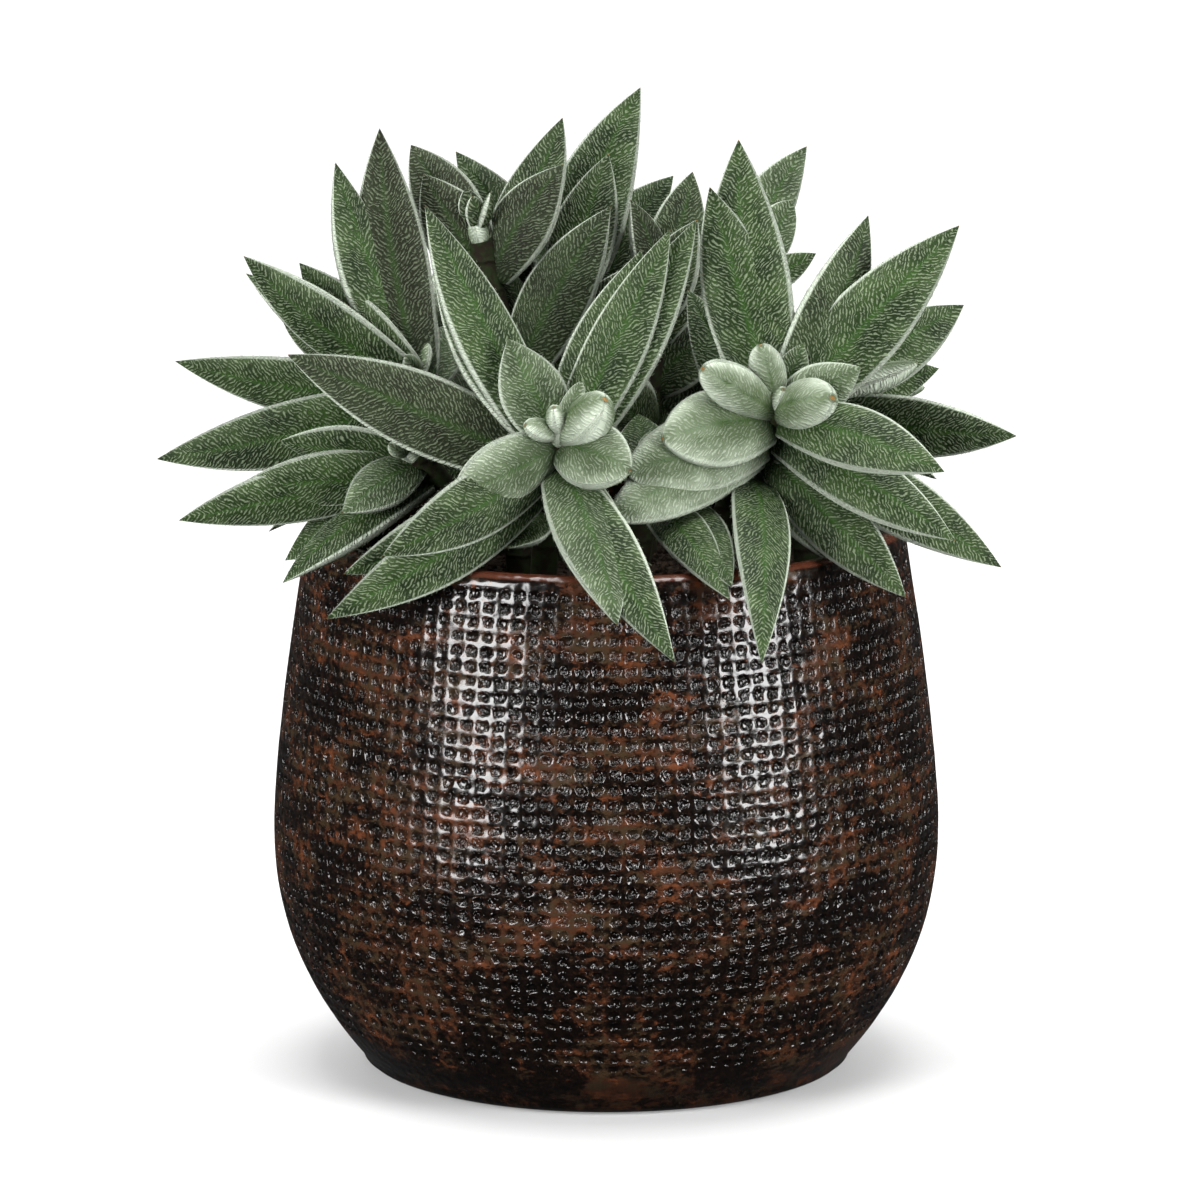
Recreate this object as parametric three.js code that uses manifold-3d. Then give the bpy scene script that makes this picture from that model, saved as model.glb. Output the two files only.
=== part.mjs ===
// Potted tenelli crassula: a glazed stoneware pot filled with soil, and thirteen leafy shoots.
// Millimetres, +Z up. The origin is the centre of the pot's foot, and the front of the plant faces -Y.
import * as THREE from 'three';
import { mergeVertices } from 'three/addons/utils/BufferGeometryUtils.js';
import Module from 'manifold-3d';

// Pot
const POT_HEIGHT = 115.5;
const POT_BELLY_RADIUS = 70;
const POT_BELLY_HEIGHT = 52;
const POT_FOOT_RADIUS = 49;
const POT_FOOT_POWER = 2.3;
const POT_RIM_RADIUS = 62.2;
const POT_RIM_POWER = 1.4;
const POT_WALL = 5;
const POT_FLOOR = 7;
const POT_FOOT_ROUND = 3;
const POT_SIDES = 48;
const POT_RINGS_BELOW = 7;
const POT_RINGS_ABOVE = 4;
const POT_RINGS_INSIDE = 4;
const POT_LIP_STEPS = 4;

// Soil
const SOIL_EDGE_HEIGHT = 103;
const SOIL_TOP_HEIGHT = 104.5;
const SOIL_FLAT_SHARE = 0.6;
const GAP = 0.3;
const STEM_HOLE_DEPTH = 14;
const STEM_HOLE_SIDES = 12;

// Stems
const STEM_RADIUS = 2.8;
const STEM_SIDES = 6;
const STEM_STEPS = 7;
const STEM_HANDLE = 0.4;
const STEM_STOP = 3;
const STEM_COLLAR = 1;

// Leaves: how the outline swells and closes, and how far the two faces stand off the middle, per width
const LEAF_SIDES = 6;
const LEAF_RINGS = 6;
const SHORT_LEAF = 39;
const SHORT_LEAF_RINGS = 4;
const OUTLINE_POWER = 1.9;
const FACE_FULLNESS = 1.15;
const FULL = { base: 0.5, widest: 0.47, tip: 1, upper: 0.1, keel: 0.3 };
const YOUNG = { base: 0.5, widest: 0.52, tip: 0.66, upper: 0.16, keel: 0.34 };
const BUD = { base: 0.45, widest: 0.56, tip: 0.46, upper: 0.4, keel: 0.42 };

// The rule that a rosette follows from its heart outwards, pair by pair
const HEART_KINDS = [BUD, YOUNG, YOUNG];
const HEART_PAIRS = { pairs: 6, longest: 48, count: 2 };
const STRAIGHT_PAIRS = 2;
const PAIR_TURN = 97;
const PAIR_STEP = 3.4;
const FIRST_PAIR = 2;
const SPREAD = { from: 22, to: 98, power: 0.8 };
const LENGTH = { from: 11, power: 0.7 };
const WIDTH = { from: 6.5, to: 14, power: 0.6 };
const DROOP = 0.12;
const STEEPEST = -0.4;
const FREE_PAIRS = 3;
const INWARD = -0.25;
const OUTER_SPREAD = 74;
const OUTER_BOW = 1.5;

// The growing tip that the youngest leaves stand round
const TIP_BELOW = 6;
const TIP_LENGTH = 8;
const TIP_WIDTH = 5;

// Shoots: foot on the soil, crown, the way the crown looks, and the leaves. A leaf is given as
// kind, mm below the crown, turn about +Z from +X, rise, length, width, bow, twist and sway.
const SHOOTS = [
  {
    name: 'shoot_front',
    foot: [-13, -28],
    crown: [-9.5, -48, 143.5],
    look: [0.02, -0.62, 0.78],
    leaves: [
      [BUD, 2, -101, 50, 9, 4.5, 0, 0],
      [BUD, 3, -40, 38, 15.5, 10, -1, 0],
      [BUD, 2, -145, 20, 9, 5, 0, 0],
      [YOUNG, 3, 35, 64, 12.5, 5, 0, 0],
      [FULL, 5, 157, 62, 24, 14, -1, -10],
      [YOUNG, 4, -154, -21, 25, 13.5, 1, -50],
      [YOUNG, 5, -38, -10, 18.5, 14.5, 1.5, 25],
      [FULL, 8, 146, 48, 45.5, 13.5, -1.5, 0],
      [FULL, 7, 52, 54, 47, 14.5, -2, 0],
      [FULL, 8, -151, -23, 44, 14, 3, -45],
      [FULL, 10, -71, -36, 46, 15, 4, 0],
      [FULL, 11, 17, 63, 53, 13, -2, 0],
      [FULL, 12, -160, -29.5, 57, 14, 8, -42],
      [FULL, 11, 165, 62, 59, 14, -2, 0],
      [FULL, 12, -59, -35, 56.5, 13, 6, 25],
      [FULL, 14, 14, 60, 59, 14, -2, 0],
      [FULL, 15, -158, -20, 49, 13, 3, -50],
      [FULL, 13, 176, 23, 59.5, 16.5, 0, -40],
      [FULL, 25, -113, -10, 22, 8, 0, 0],
    ],
  },
  {
    name: 'shoot_right',
    foot: [22, -14],
    crown: [35.5, -39, 149],
    look: [0.04, -0.6, 0.8],
    leaves: [
      [BUD, 4, -140, 70, 14.5, 7.5, -1, -30],
      [FULL, 4, 39, 63, 14.5, 7.5, 0, 10],
      [BUD, 5.5, -149, 31, 21, 9.5, 0, -50],
      [BUD, 5.5, -39, 18, 15, 11, 0, 40],
      [FULL, 6, -15, 31, 20.5, 11.5, 0.5, 40],
      [YOUNG, 8, -151, -3, 26.5, 17, 1, -18],
      [FULL, 7, 154, 72, 49, 16, -2, -25],
      [FULL, 7, -37, -9, 42.5, 14, 3, 25],
      [YOUNG, 13.5, -148, -7, 34.5, 17, 1.5, -18],
      [FULL, 7, 35, 35, 44, 15.5, 1.5, 10],
      [YOUNG, 17, -142, -14, 41.5, 14, 2.5, -10],
      [FULL, 10, 29, 62, 47.5, 14.5, 2, 25, 0.8],
      [FULL, 12, -28, -24, 46, 13.5, 2, 20],
      [FULL, 10, 129, 79, 59, 18, 0, -30, -1.7],
      [FULL, 26, -88, -27, 63, 12, 9, 10, 0.5],
      [FULL, 11, 8, 47, 56.5, 16.5, 2, 10],
      [FULL, 14, -8, -28, 54.5, 14, 2, 25, -0.8],
      [FULL, 17, -41, -35, 46, 13.5, 2, 40],
      [FULL, 24, -7, -50, 25, 9, 1, 0],
      [FULL, 15, 123, 43, 40, 12, 0, -35],
    ],
  },
  {
    name: 'shoot_centre',
    foot: [6, -22],
    crown: [10, -30, 133],
    look: [0.1, -0.5, 0.86],
    leaves: [
      [YOUNG, 2, 89, 34, 12, 7, 0, 0],
      [YOUNG, 3, -74, 21, 11, 7, 0, 0],
      [FULL, 8, 97, 36, 23, 12, 1, -15],
      [FULL, 7, -68, -16, 45, 11, 1.5, 20, -2],
      [FULL, 9, -69, -16, 47, 10.5, 4, 25],
    ],
  },
  {
    name: 'shoot_left',
    foot: [-18, -8],
    crown: [-41, -14, 149.5],
    look: [-0.55, -0.4, 0.74],
    leaves: [
      [YOUNG, 3, 80, 55, 11, 6, 0, 0],
      [YOUNG, 3, -110, 45, 9, 5, 0, 0],
      [YOUNG, 6, 67, 40, 18, 10, 0, 45],
      [FULL, 5, 121, 59, 29.5, 13.5, -1, 20],
      [YOUNG, 3, 148, 21, 36, 14, 2, -30],
      [FULL, 6, 156, 41, 38, 13, 3, -25],
      [FULL, 5, 126, 74, 54.5, 15, -2, 45, -1.7],
      [FULL, 5, 169, 35, 46, 13, 3, -50],
      [FULL, 7, 161, 67, 51.5, 14, -3, 65, -0.5],
      [FULL, 8, 162, 65, 46, 10, -3, 65],
      [FULL, 8, 157, 29, 48, 12, 0, 10],
      [FULL, 8, -175, -12, 58, 14, 3, -65, -1],
      [FULL, 9, -179, 9, 54, 12.5, 2, -75, -0.8],
      [FULL, 12, 130, 5, 40, 13, 1, 0],
      [FULL, 16, 170, -12, 44, 13, 1, 0],
    ],
  },
  {
    name: 'shoot_low_left',
    foot: [-30, -24],
    crown: [-42, -32, 136.5],
    look: [-0.79, -0.32, 0.53],
    leaves: [
      [YOUNG, 2, -121, 23, 8.5, 4, 0, 0],
      [FULL, 3, -178, 7, 27.5, 10.5, 0, -80],
      [FULL, 5, -136, -20, 23, 11, 1, -55],
      [FULL, 7, -177, -5, 39, 12.5, 1, -80],
      [FULL, 8, -175, -10.5, 52.5, 13, -1, -80, 0.4],
      [FULL, 10, -151, -28, 40, 11.5, 2, -15],
      [FULL, 8, 172, -33, 36, 13, 2, -30],
    ],
  },
  {
    name: 'shoot_back_left',
    foot: [-14, 0],
    crown: [-27, 4, 177],
    look: [-0.2, -0.1, 0.97],
    leaves: [
      [YOUNG, 1, -117, 74, 8, 4.5, 0, 0],
      [YOUNG, 1, -30, 70, 9, 5, 0, 0],
      [YOUNG, 3, 160, 74, 11, 6, 0, 0],
      [FULL, 8, 141, 49, 30.5, 13.5, 2, -35],
      [FULL, 12, 1, 58, 29, 14, 2, 60],
      [FULL, 10, 37, 57.5, 36.5, 13, -3.5, 40],
      [FULL, 34, -7, 62, 42.5, 15.5, 3, 80],
      [FULL, 40, -12, 54, 38.5, 12, 0, 100],
      [FULL, 36, 110, -20, 28, 13, 1, 0],
      [FULL, 44, 165, 22, 26, 16, 1, -60],
      [FULL, 54, -169, 4, 23, 14, 1, -75],
      [FULL, 13, 166, 58, 27, 14.5, 2, -60],
    ],
  },
  {
    name: 'shoot_back',
    foot: [-8, 13],
    crown: [-10, 15, 163],
    look: [0, -0.2, 0.98],
    leaves: [
      [YOUNG, 3, 10, 62, 12, 6, 0, 0],
      [YOUNG, 3, 190, 62, 12, 6, 0, 0],
      [FULL, 4, 152, 51, 39, 13, 2, -40],
      [FULL, 8, 29, 71, 36.5, 14, 2, 40],
      [FULL, 14, 44, 66, 58, 17.5, 1, 40, -3],
      [FULL, 4, 40, 37, 39.5, 13, 1, 45],
      [FULL, 24, 27, 65, 39.5, 13, 1, 60],
      [FULL, 26, -164, 65, 34.5, 13, 1, -70],
      [FULL, 16, 125, 15, 38, 13, 1, 0],
    ],
  },
  {
    name: 'shoot_back_middle',
    foot: [8, 17],
    crown: [11, 20, 163],
    look: [0.1, -0.25, 0.95],
    leaves: [
      [YOUNG, 3, 20, 60, 12, 6, 0, 0],
      [YOUNG, 3, 230, 60, 12, 6, 0, 0],
      [FULL, 5, 49, 66, 29, 12, 2, 30],
      [FULL, 5, -128, 69, 24.5, 10, 2, -60],
      [FULL, 10, -41, 63, 26.5, 12, 2, 100],
      [FULL, 14, 95, 15, 36, 13, 1, 0],
      [FULL, 14, 21, 63, 24, 12, 1, 50],
      [FULL, 24, 20, 40, 20, 13, 1, 60],
      [FULL, 34, 30, 30, 30, 14, 1, 60],
      [FULL, 32, -115, 35, 26, 13, 1, 40],
    ],
  },
  {
    name: 'shoot_back_right',
    foot: [30, 14],
    crown: [29, 17, 167],
    look: [0, -0.2, 0.97],
    leaves: [
      [YOUNG, 3, 110, 60, 12, 6, 0, 0],
      [YOUNG, 3, -70, 60, 12, 6, 0, 0],
      [FULL, 2, 39, 56, 30.5, 11.5, -2, 50, -1.5],
      [YOUNG, 4, 33, 54, 20, 10, 0, 60],
      [FULL, 6, 7, 27, 17, 7, 0, 75],
      [FULL, 10, 95, 15, 30, 12, 1, 0],
      [FULL, 14, 15, -5, 34, 12, 1, 0],
    ],
  },
  {
    name: 'shoot_far_right',
    foot: [42, -2],
    crown: [46, -8, 148],
    look: [0.5, -0.3, 0.8],
    heart: 20,
    leaves: [
      [FULL, 6, 30, 24, 40, 14.5, 0, 25],
      [FULL, 8, 36, 7, 34, 11, 0, 60],
      [FULL, 10, -28, -1, 48, 13, 1, 85, 0.4],
      [FULL, 8, 60, 25, 32, 12, 1, 0],
      [FULL, 12, 30, -10, 42, 13, 1, 0],
    ],
  },
  {
    name: 'shoot_rear_left',
    foot: [-24, 22],
    crown: [-42, 36, 146],
    look: [-0.45, 0.45, 0.77],
    rosette: { pairs: 6, turn: 20, longest: 48 },
    leaves: [],
  },
  {
    name: 'shoot_rear',
    foot: [-3, 37],
    crown: [-4, 56, 145],
    look: [-0.05, 0.6, 0.8],
    rosette: { pairs: 6, turn: 10, longest: 42 },
    leaves: [],
  },
  {
    name: 'shoot_rear_right',
    foot: [27, 25],
    crown: [46, 40, 145],
    look: [0.5, 0.4, 0.77],
    rosette: { pairs: 6, turn: 25, longest: 40 },
    leaves: [],
  },
];

const wasm = await Module();
wasm.setup();

const RAD = Math.PI / 180;

// A closed geometry as a solid that can be cut and joined
function solidOf(geometry) {
  const bare = geometry.clone();
  bare.deleteAttribute('normal');
  bare.deleteAttribute('uv');
  const merged = mergeVertices(bare, 1e-4);
  const corners = [];
  const index = merged.index.array;
  for (let i = 0; i < index.length; i += 3) {
    const [a, b, c] = [index[i], index[i + 1], index[i + 2]];
    if (a !== b && b !== c && c !== a) corners.push(a, b, c);
  }
  return new wasm.Manifold(new wasm.Mesh({
    numProp: 3,
    vertProperties: new Float32Array(merged.attributes.position.array),
    triVerts: new Uint32Array(corners),
  }));
}

function geometryOf(solid) {
  const mesh = solid.getMesh();
  const geometry = new THREE.BufferGeometry();
  geometry.setAttribute('position', new THREE.BufferAttribute(mesh.vertProperties, 3));
  geometry.setIndex(new THREE.BufferAttribute(mesh.triVerts, 1));
  geometry.computeVertexNormals();
  return geometry;
}

// Turns a lathe's profile, drawn round +Y, to stand round +Z
function turned(profile) {
  const points = profile.map(([r, z]) => new THREE.Vector2(r, z));
  return new THREE.LatheGeometry(points, POT_SIDES).rotateX(Math.PI / 2);
}

// Pot: a low wide belly over a narrower foot, with a rounded lip
function potRadius(z) {
  const below = Math.max(0, 1 - z / POT_BELLY_HEIGHT);
  const above = Math.max(0, (z - POT_BELLY_HEIGHT) / (POT_HEIGHT - POT_BELLY_HEIGHT));
  return POT_BELLY_RADIUS
    - (POT_BELLY_RADIUS - POT_FOOT_RADIUS) * below ** POT_FOOT_POWER
    - (POT_BELLY_RADIUS - POT_RIM_RADIUS) * above ** POT_RIM_POWER;
}

function potInside(z) {
  return potRadius(z) - POT_WALL;
}

function potProfile() {
  const profile = [[0, 0], [POT_FOOT_RADIUS - POT_FOOT_ROUND, 0]];
  for (let i = 0; i <= POT_RINGS_BELOW; i += 1) {
    const z = POT_FOOT_ROUND + (POT_BELLY_HEIGHT - POT_FOOT_ROUND) * i / POT_RINGS_BELOW;
    profile.push([potRadius(z), z]);
  }
  const lip = POT_WALL / 2;
  const shoulder = POT_HEIGHT - lip;
  for (let i = 1; i <= POT_RINGS_ABOVE; i += 1) {
    const z = POT_BELLY_HEIGHT + (shoulder - POT_BELLY_HEIGHT) * i / POT_RINGS_ABOVE;
    profile.push([potRadius(z), z]);
  }
  const middle = potRadius(shoulder) - lip;
  for (let i = 1; i <= POT_LIP_STEPS; i += 1) {
    const a = Math.PI * i / (POT_LIP_STEPS + 1);
    profile.push([middle + lip * Math.cos(a), shoulder + lip * Math.sin(a)]);
  }
  for (let i = 0; i <= POT_RINGS_INSIDE; i += 1) {
    const z = shoulder + (POT_FLOOR - shoulder) * i / POT_RINGS_INSIDE;
    profile.push([potInside(z), z]);
  }
  profile.push([0, POT_FLOOR]);
  return profile;
}

// Soil: fills the pot, a little higher in the middle, with a plain hole for each stem
function soilProfile() {
  const profile = [[0, POT_FLOOR + GAP]];
  for (let i = 0; i <= POT_RINGS_INSIDE; i += 1) {
    const z = POT_FLOOR + GAP + (SOIL_EDGE_HEIGHT - POT_FLOOR - GAP) * i / POT_RINGS_INSIDE;
    profile.push([potInside(z) - 2 * GAP, z]);
  }
  profile.push([potInside(SOIL_EDGE_HEIGHT) * SOIL_FLAT_SHARE, SOIL_TOP_HEIGHT]);
  profile.push([0, SOIL_TOP_HEIGHT]);
  return profile;
}

function soilSolid() {
  let soil = solidOf(turned(soilProfile()));
  const deep = STEM_HOLE_DEPTH + SOIL_TOP_HEIGHT;
  for (const { foot } of SHOOTS) {
    const wide = STEM_RADIUS + GAP;
    const hole = new THREE.CylinderGeometry(wide, wide, deep, STEM_HOLE_SIDES);
    hole.rotateX(Math.PI / 2);
    hole.translate(foot[0], foot[1], SOIL_TOP_HEIGHT - STEM_HOLE_DEPTH + deep / 2);
    soil = soil.subtract(solidOf(hole));
  }
  return soil;
}

// A stem's line: straight up out of the soil, then bent over to look the way its crown does
function stemCurve({ foot, crown, look }) {
  const start = new THREE.Vector3(foot[0], foot[1], SOIL_TOP_HEIGHT);
  const end = new THREE.Vector3(...crown);
  const handle = STEM_HANDLE * start.distanceTo(end);
  const facing = new THREE.Vector3(...look).normalize();
  return new THREE.CubicBezierCurve3(
    start,
    start.clone().add(new THREE.Vector3(0, 0, handle)),
    end.clone().addScaledVector(facing, -handle),
    end,
  );
}

function stemSolid(curve) {
  const length = curve.getLength();
  const start = curve.getPoint(0);
  const path = [
    start.clone().setZ(start.z - STEM_HOLE_DEPTH + GAP),
    start.clone().setZ(start.z - STEM_COLLAR),
  ];
  for (let i = 1; i <= STEM_STEPS; i += 1) {
    path.push(curve.getPointAt((length - STEM_STOP) / length * i / STEM_STEPS));
  }
  const section = new THREE.Shape();
  for (let i = 0; i < STEM_SIDES; i += 1) {
    const a = 2 * Math.PI * i / STEM_SIDES;
    const [x, y] = [STEM_RADIUS * Math.cos(a), STEM_RADIUS * Math.sin(a)];
    if (i === 0) section.moveTo(x, y);
    else section.lineTo(x, y);
  }
  section.closePath();
  return solidOf(new THREE.ExtrudeGeometry(section, {
    steps: STEM_STEPS + 3,
    bevelEnabled: false,
    extrudePath: new THREE.CatmullRomCurve3(path, false, 'centripetal'),
  }));
}

// Half the leaf's width at a share of its length, for a width of 2
function outline(kind, share) {
  if (share <= kind.widest) {
    return kind.base + (1 - kind.base) * Math.sin(share / kind.widest * Math.PI / 2);
  }
  const past = (share - kind.widest) / (1 - kind.widest);
  return (1 - past ** OUTLINE_POWER) ** kind.tip;
}

// A leaf is a ball drawn out from root to tip, with a flat upper face and a keeled lower one
function leafSolid(kind, root, axis, chord, width, bow = 0, twist = 0, sway = 0) {
  const length = chord.length();
  const along = chord.clone().normalize();
  const up = axis.clone().addScaledVector(along, -axis.dot(along)).normalize();
  up.applyAxisAngle(along, twist * RAD);
  const side = new THREE.Vector3().crossVectors(along, up);
  const rings = length < SHORT_LEAF ? SHORT_LEAF_RINGS : LEAF_RINGS;
  const geometry = new THREE.SphereGeometry(1, LEAF_SIDES, rings);
  const { position, uv } = geometry.attributes;
  for (let i = 0; i < position.count; i += 1) {
    const share = 1 - Math.round(uv.getY(i) * rings) / rings;
    const angle = 2 * Math.PI * Math.round(uv.getX(i) * LEAF_SIDES) / LEAF_SIDES;
    const ends = share === 0 || share === 1;
    const half = ends ? 0 : outline(kind, share) * width / 2;
    const depth = Math.sin(angle) > 0 ? kind.upper : kind.keel;
    const point = root.clone().addScaledVector(along, length * share);
    point.addScaledVector(up, bow * 4 * share * (1 - share));
    point.addScaledVector(side, sway * 4 * share * (1 - share));
    point.addScaledVector(side, Math.cos(angle) * half);
    point.addScaledVector(up, Math.sin(angle) * depth * 2 * half * FACE_FULLNESS);
    position.setXYZ(i, point.x, point.y, point.z);
  }
  return solidOf(geometry);
}

// Where a leaf of the table grows and the way it points
function handLeaf(curve, [kind, below, turn, rise, length, width, ...bends]) {
  const share = 1 - below / curve.getLength();
  const chord = new THREE.Vector3(
    Math.cos(rise * RAD) * Math.cos(turn * RAD),
    Math.cos(rise * RAD) * Math.sin(turn * RAD),
    Math.sin(rise * RAD),
  ).multiplyScalar(length);
  return leafSolid(kind, curve.getPointAt(share), curve.getTangentAt(share), chord, width, ...bends);
}

function between({ from, to, power }, share) {
  return from + (to - from) * share ** power;
}

// Crossed pairs from the heart outwards, each pair wider, longer and more spread than the last
function rosetteLeaves(curve, crown, { pairs, turn, longest, count = pairs }) {
  const leaves = [];
  const outward = new THREE.Vector2(crown[0], crown[1]).normalize();
  for (let k = 0; k < count; k += 1) {
    const share = k / (pairs - 1);
    const place = 1 - (FIRST_PAIR + PAIR_STEP * k) / curve.getLength();
    const axis = curve.getTangentAt(place);
    const first = new THREE.Vector3(axis.y, -axis.x, 0).normalize();
    const second = new THREE.Vector3().crossVectors(axis, first);
    const spread = between(SPREAD, share) * RAD;
    const length = between({ ...LENGTH, to: longest }, share);
    const width = between(WIDTH, share);
    const kind = HEART_KINDS[k] ?? FULL;
    const bow = k < STRAIGHT_PAIRS ? 0 : OUTER_BOW * (share + (spread > OUTER_SPREAD * RAD ? 1 : 0));
    for (const half of [0, 180]) {
      const angle = (turn + PAIR_TURN * k + half) * RAD;
      const chord = axis.clone().multiplyScalar(Math.cos(spread));
      chord.addScaledVector(first, Math.sin(spread) * Math.cos(angle));
      chord.addScaledVector(second, Math.sin(spread) * Math.sin(angle));
      chord.z = Math.max(chord.z - DROOP * share, STEEPEST);
      chord.normalize();
      const inward = chord.x * outward.x + chord.y * outward.y < INWARD;
      if (k >= FREE_PAIRS && inward) continue;
      const root = curve.getPointAt(place);
      leaves.push(leafSolid(kind, root, axis, chord.multiplyScalar(length), width, bow));
    }
  }
  return leaves;
}

function growingTip(curve) {
  const place = 1 - TIP_BELOW / curve.getLength();
  const chord = curve.getTangentAt(place).multiplyScalar(TIP_LENGTH);
  return leafSolid(BUD, curve.getPointAt(place), new THREE.Vector3(1, 0, 0), chord, TIP_WIDTH);
}

function shootSolid(shoot) {
  const curve = stemCurve(shoot);
  let solid = stemSolid(curve).add(growingTip(curve));
  const leaves = shoot.leaves.map((row) => handLeaf(curve, row));
  if (shoot.rosette) leaves.push(...rosetteLeaves(curve, shoot.crown, shoot.rosette));
  if (shoot.heart !== undefined) {
    const heart = { ...HEART_PAIRS, turn: shoot.heart };
    leaves.push(...rosetteLeaves(curve, shoot.crown, heart));
  }
  for (const leaf of leaves) solid = solid.add(leaf);
  const bodies = solid.decompose();
  return bodies.reduce((largest, body) => (body.volume() > largest.volume() ? body : largest));
}

function piece(name, geometry, color, roughness) {
  const material = new THREE.MeshStandardMaterial({ color, roughness, metalness: 0 });
  const mesh = new THREE.Mesh(geometry, material);
  mesh.name = name;
  return mesh;
}

const plant = new THREE.Group();
plant.add(piece('pot', turned(potProfile()), 0x2e1d17, 0.3));
plant.add(piece('soil', geometryOf(soilSolid()), 0x1d1611, 0.95));
for (const shoot of SHOOTS) {
  plant.add(piece(shoot.name, geometryOf(shootSolid(shoot)), 0x5f7d5c, 0.75));
}

export default plant;
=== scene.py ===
"""Potted tenelli crassula: thirteen leafy shoots in a pitted, glazed stoneware pot, in a plain studio.

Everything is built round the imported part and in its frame: +Z is up, the origin is the middle of
the pot's foot and the front faces -Y. Sizes are given in millimetres, as in the part's source, and
MM turns them into metres where a mesh is made.
"""

from __future__ import annotations

import logging
import math
from dataclasses import dataclass
from enum import Enum
from typing import Any, Iterable, Optional, Union

import bpy
from mathutils import Euler, Matrix, Vector


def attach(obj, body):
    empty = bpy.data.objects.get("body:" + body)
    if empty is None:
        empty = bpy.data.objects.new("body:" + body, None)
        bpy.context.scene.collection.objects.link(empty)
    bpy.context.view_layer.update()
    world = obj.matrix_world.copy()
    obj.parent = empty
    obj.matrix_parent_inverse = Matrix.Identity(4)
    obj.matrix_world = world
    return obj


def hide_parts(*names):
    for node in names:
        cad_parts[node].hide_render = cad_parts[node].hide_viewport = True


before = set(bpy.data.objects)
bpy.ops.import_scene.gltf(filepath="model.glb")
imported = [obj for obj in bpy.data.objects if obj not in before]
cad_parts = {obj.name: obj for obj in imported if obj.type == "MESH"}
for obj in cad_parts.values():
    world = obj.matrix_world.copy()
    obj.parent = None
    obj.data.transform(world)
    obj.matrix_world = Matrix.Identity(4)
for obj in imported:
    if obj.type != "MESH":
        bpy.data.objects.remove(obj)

log = logging.getLogger("potted_crassula")

MM = 0.001
TO_MM = 1000.0
WELD = 1e-6
BODY = "root"

Colour = tuple[float, float, float, float]
Triple = tuple[float, float, float]
Settings = dict[str, Any]
Inputs = dict[int | str, Any]


# Node graphs


def spaced(inputs: Settings) -> Inputs:
    """The same inputs with spaces for the underscores in their names."""
    return {name.replace("_", " "): given for name, given in inputs.items()}


class Link:
    """An output socket that other nodes of its graph can be linked to."""

    def __init__(self, graph: "Graph", socket: bpy.types.NodeSocket) -> None:
        """Keeps the socket and its graph.

        Args:
            graph: The graph that new nodes go into.
            socket: The output socket.
        """
        self.graph = graph
        self.socket = socket


class Value(Link):
    """A socket that carries numbers; Python's operators on it add Math nodes."""

    def __add__(self, other: "Number") -> "Value":
        """This value plus another."""
        return self.graph.math("ADD", self, other)

    __radd__ = __add__

    def __sub__(self, other: "Number") -> "Value":
        """This value less another."""
        return self.graph.math("SUBTRACT", self, other)

    def __rsub__(self, other: "Number") -> "Value":
        """Another value less this one."""
        return self.graph.math("SUBTRACT", other, self)

    def __mul__(self, other: "Number") -> "Value":
        """This value times another."""
        return self.graph.math("MULTIPLY", self, other)

    __rmul__ = __mul__

    def __truediv__(self, other: "Number") -> "Value":
        """This value over another."""
        return self.graph.math("DIVIDE", self, other)

    def __pow__(self, other: "Number") -> "Value":
        """This value to a power."""
        return self.graph.math("POWER", self, other)

    def __abs__(self) -> "Value":
        """This value without its sign."""
        return self.graph.math("ABSOLUTE", self)

    def __gt__(self, other: "Number") -> "Value":
        """1 where this value is the larger, and 0 elsewhere."""
        return self.graph.math("GREATER_THAN", self, other)

    def __lt__(self, other: "Number") -> "Value":
        """1 where this value is the smaller, and 0 elsewhere."""
        return self.graph.math("LESS_THAN", self, other)

    def eased(self, start: float, end: float) -> "Value":
        """Turns this value into a smooth step.

        Args:
            start: Where the step is 0. It may be above end, for a step down.
            end: Where the step is 1.

        Returns:
            A value from 0 to 1.
        """
        settings = {"interpolation_type": "SMOOTHSTEP"}
        low, high = min(start, end), max(start, end)
        step = self.graph.value("ShaderNodeMapRange", settings, {0: self, 1: low, 2: high})
        return step if start < end else 1 - step

    def bell(self, width: float) -> "Value":
        """A bump of height 1 where this value is 0, which falls off over width."""
        return self.graph.math("EXPONENT", (self / width) ** 2 * -1)

    def fraction(self) -> "Value":
        """What is left of this value above the whole number below it."""
        return self.graph.math("FRACT", self)

    def floor(self) -> "Value":
        """The whole number below this value."""
        return self.graph.math("FLOOR", self)


class Arrow(Link):
    """A socket that carries vectors; Python's operators on it add Vector Math nodes."""

    def _with(self, operation: str, key: int | str, other: Any) -> "Arrow":
        """The result of a Vector Math node on this vector and another input."""
        inputs = {0: self, key: other}
        return self.graph.arrow("ShaderNodeVectorMath", {"operation": operation}, inputs)

    def __add__(self, other: "Arrow | tuple") -> "Arrow":
        """This vector plus another."""
        return self._with("ADD", 1, other)

    def __sub__(self, other: "Arrow | tuple") -> "Arrow":
        """This vector less another."""
        return self._with("SUBTRACT", 1, other)

    def __mul__(self, other: "Arrow | Number | tuple") -> "Arrow":
        """This vector times a number, or times a vector part by part."""
        by_parts = isinstance(other, (Arrow, tuple))
        return self._with("MULTIPLY", 1, other) if by_parts else self._with("SCALE", "Scale", other)

    __rmul__ = __mul__

    def length(self) -> Value:
        """How long this vector is."""
        settings = {"operation": "LENGTH"}
        return self.graph.value("ShaderNodeVectorMath", settings, {0: self}, output="Value")

    def parts(self) -> tuple[Value, Value, Value]:
        """This vector's X, Y and Z."""
        node = self.graph.node("ShaderNodeSeparateXYZ", inputs={0: self})
        return tuple(Value(self.graph, socket) for socket in node.outputs)


Number = Union[Value, float, int]


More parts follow.
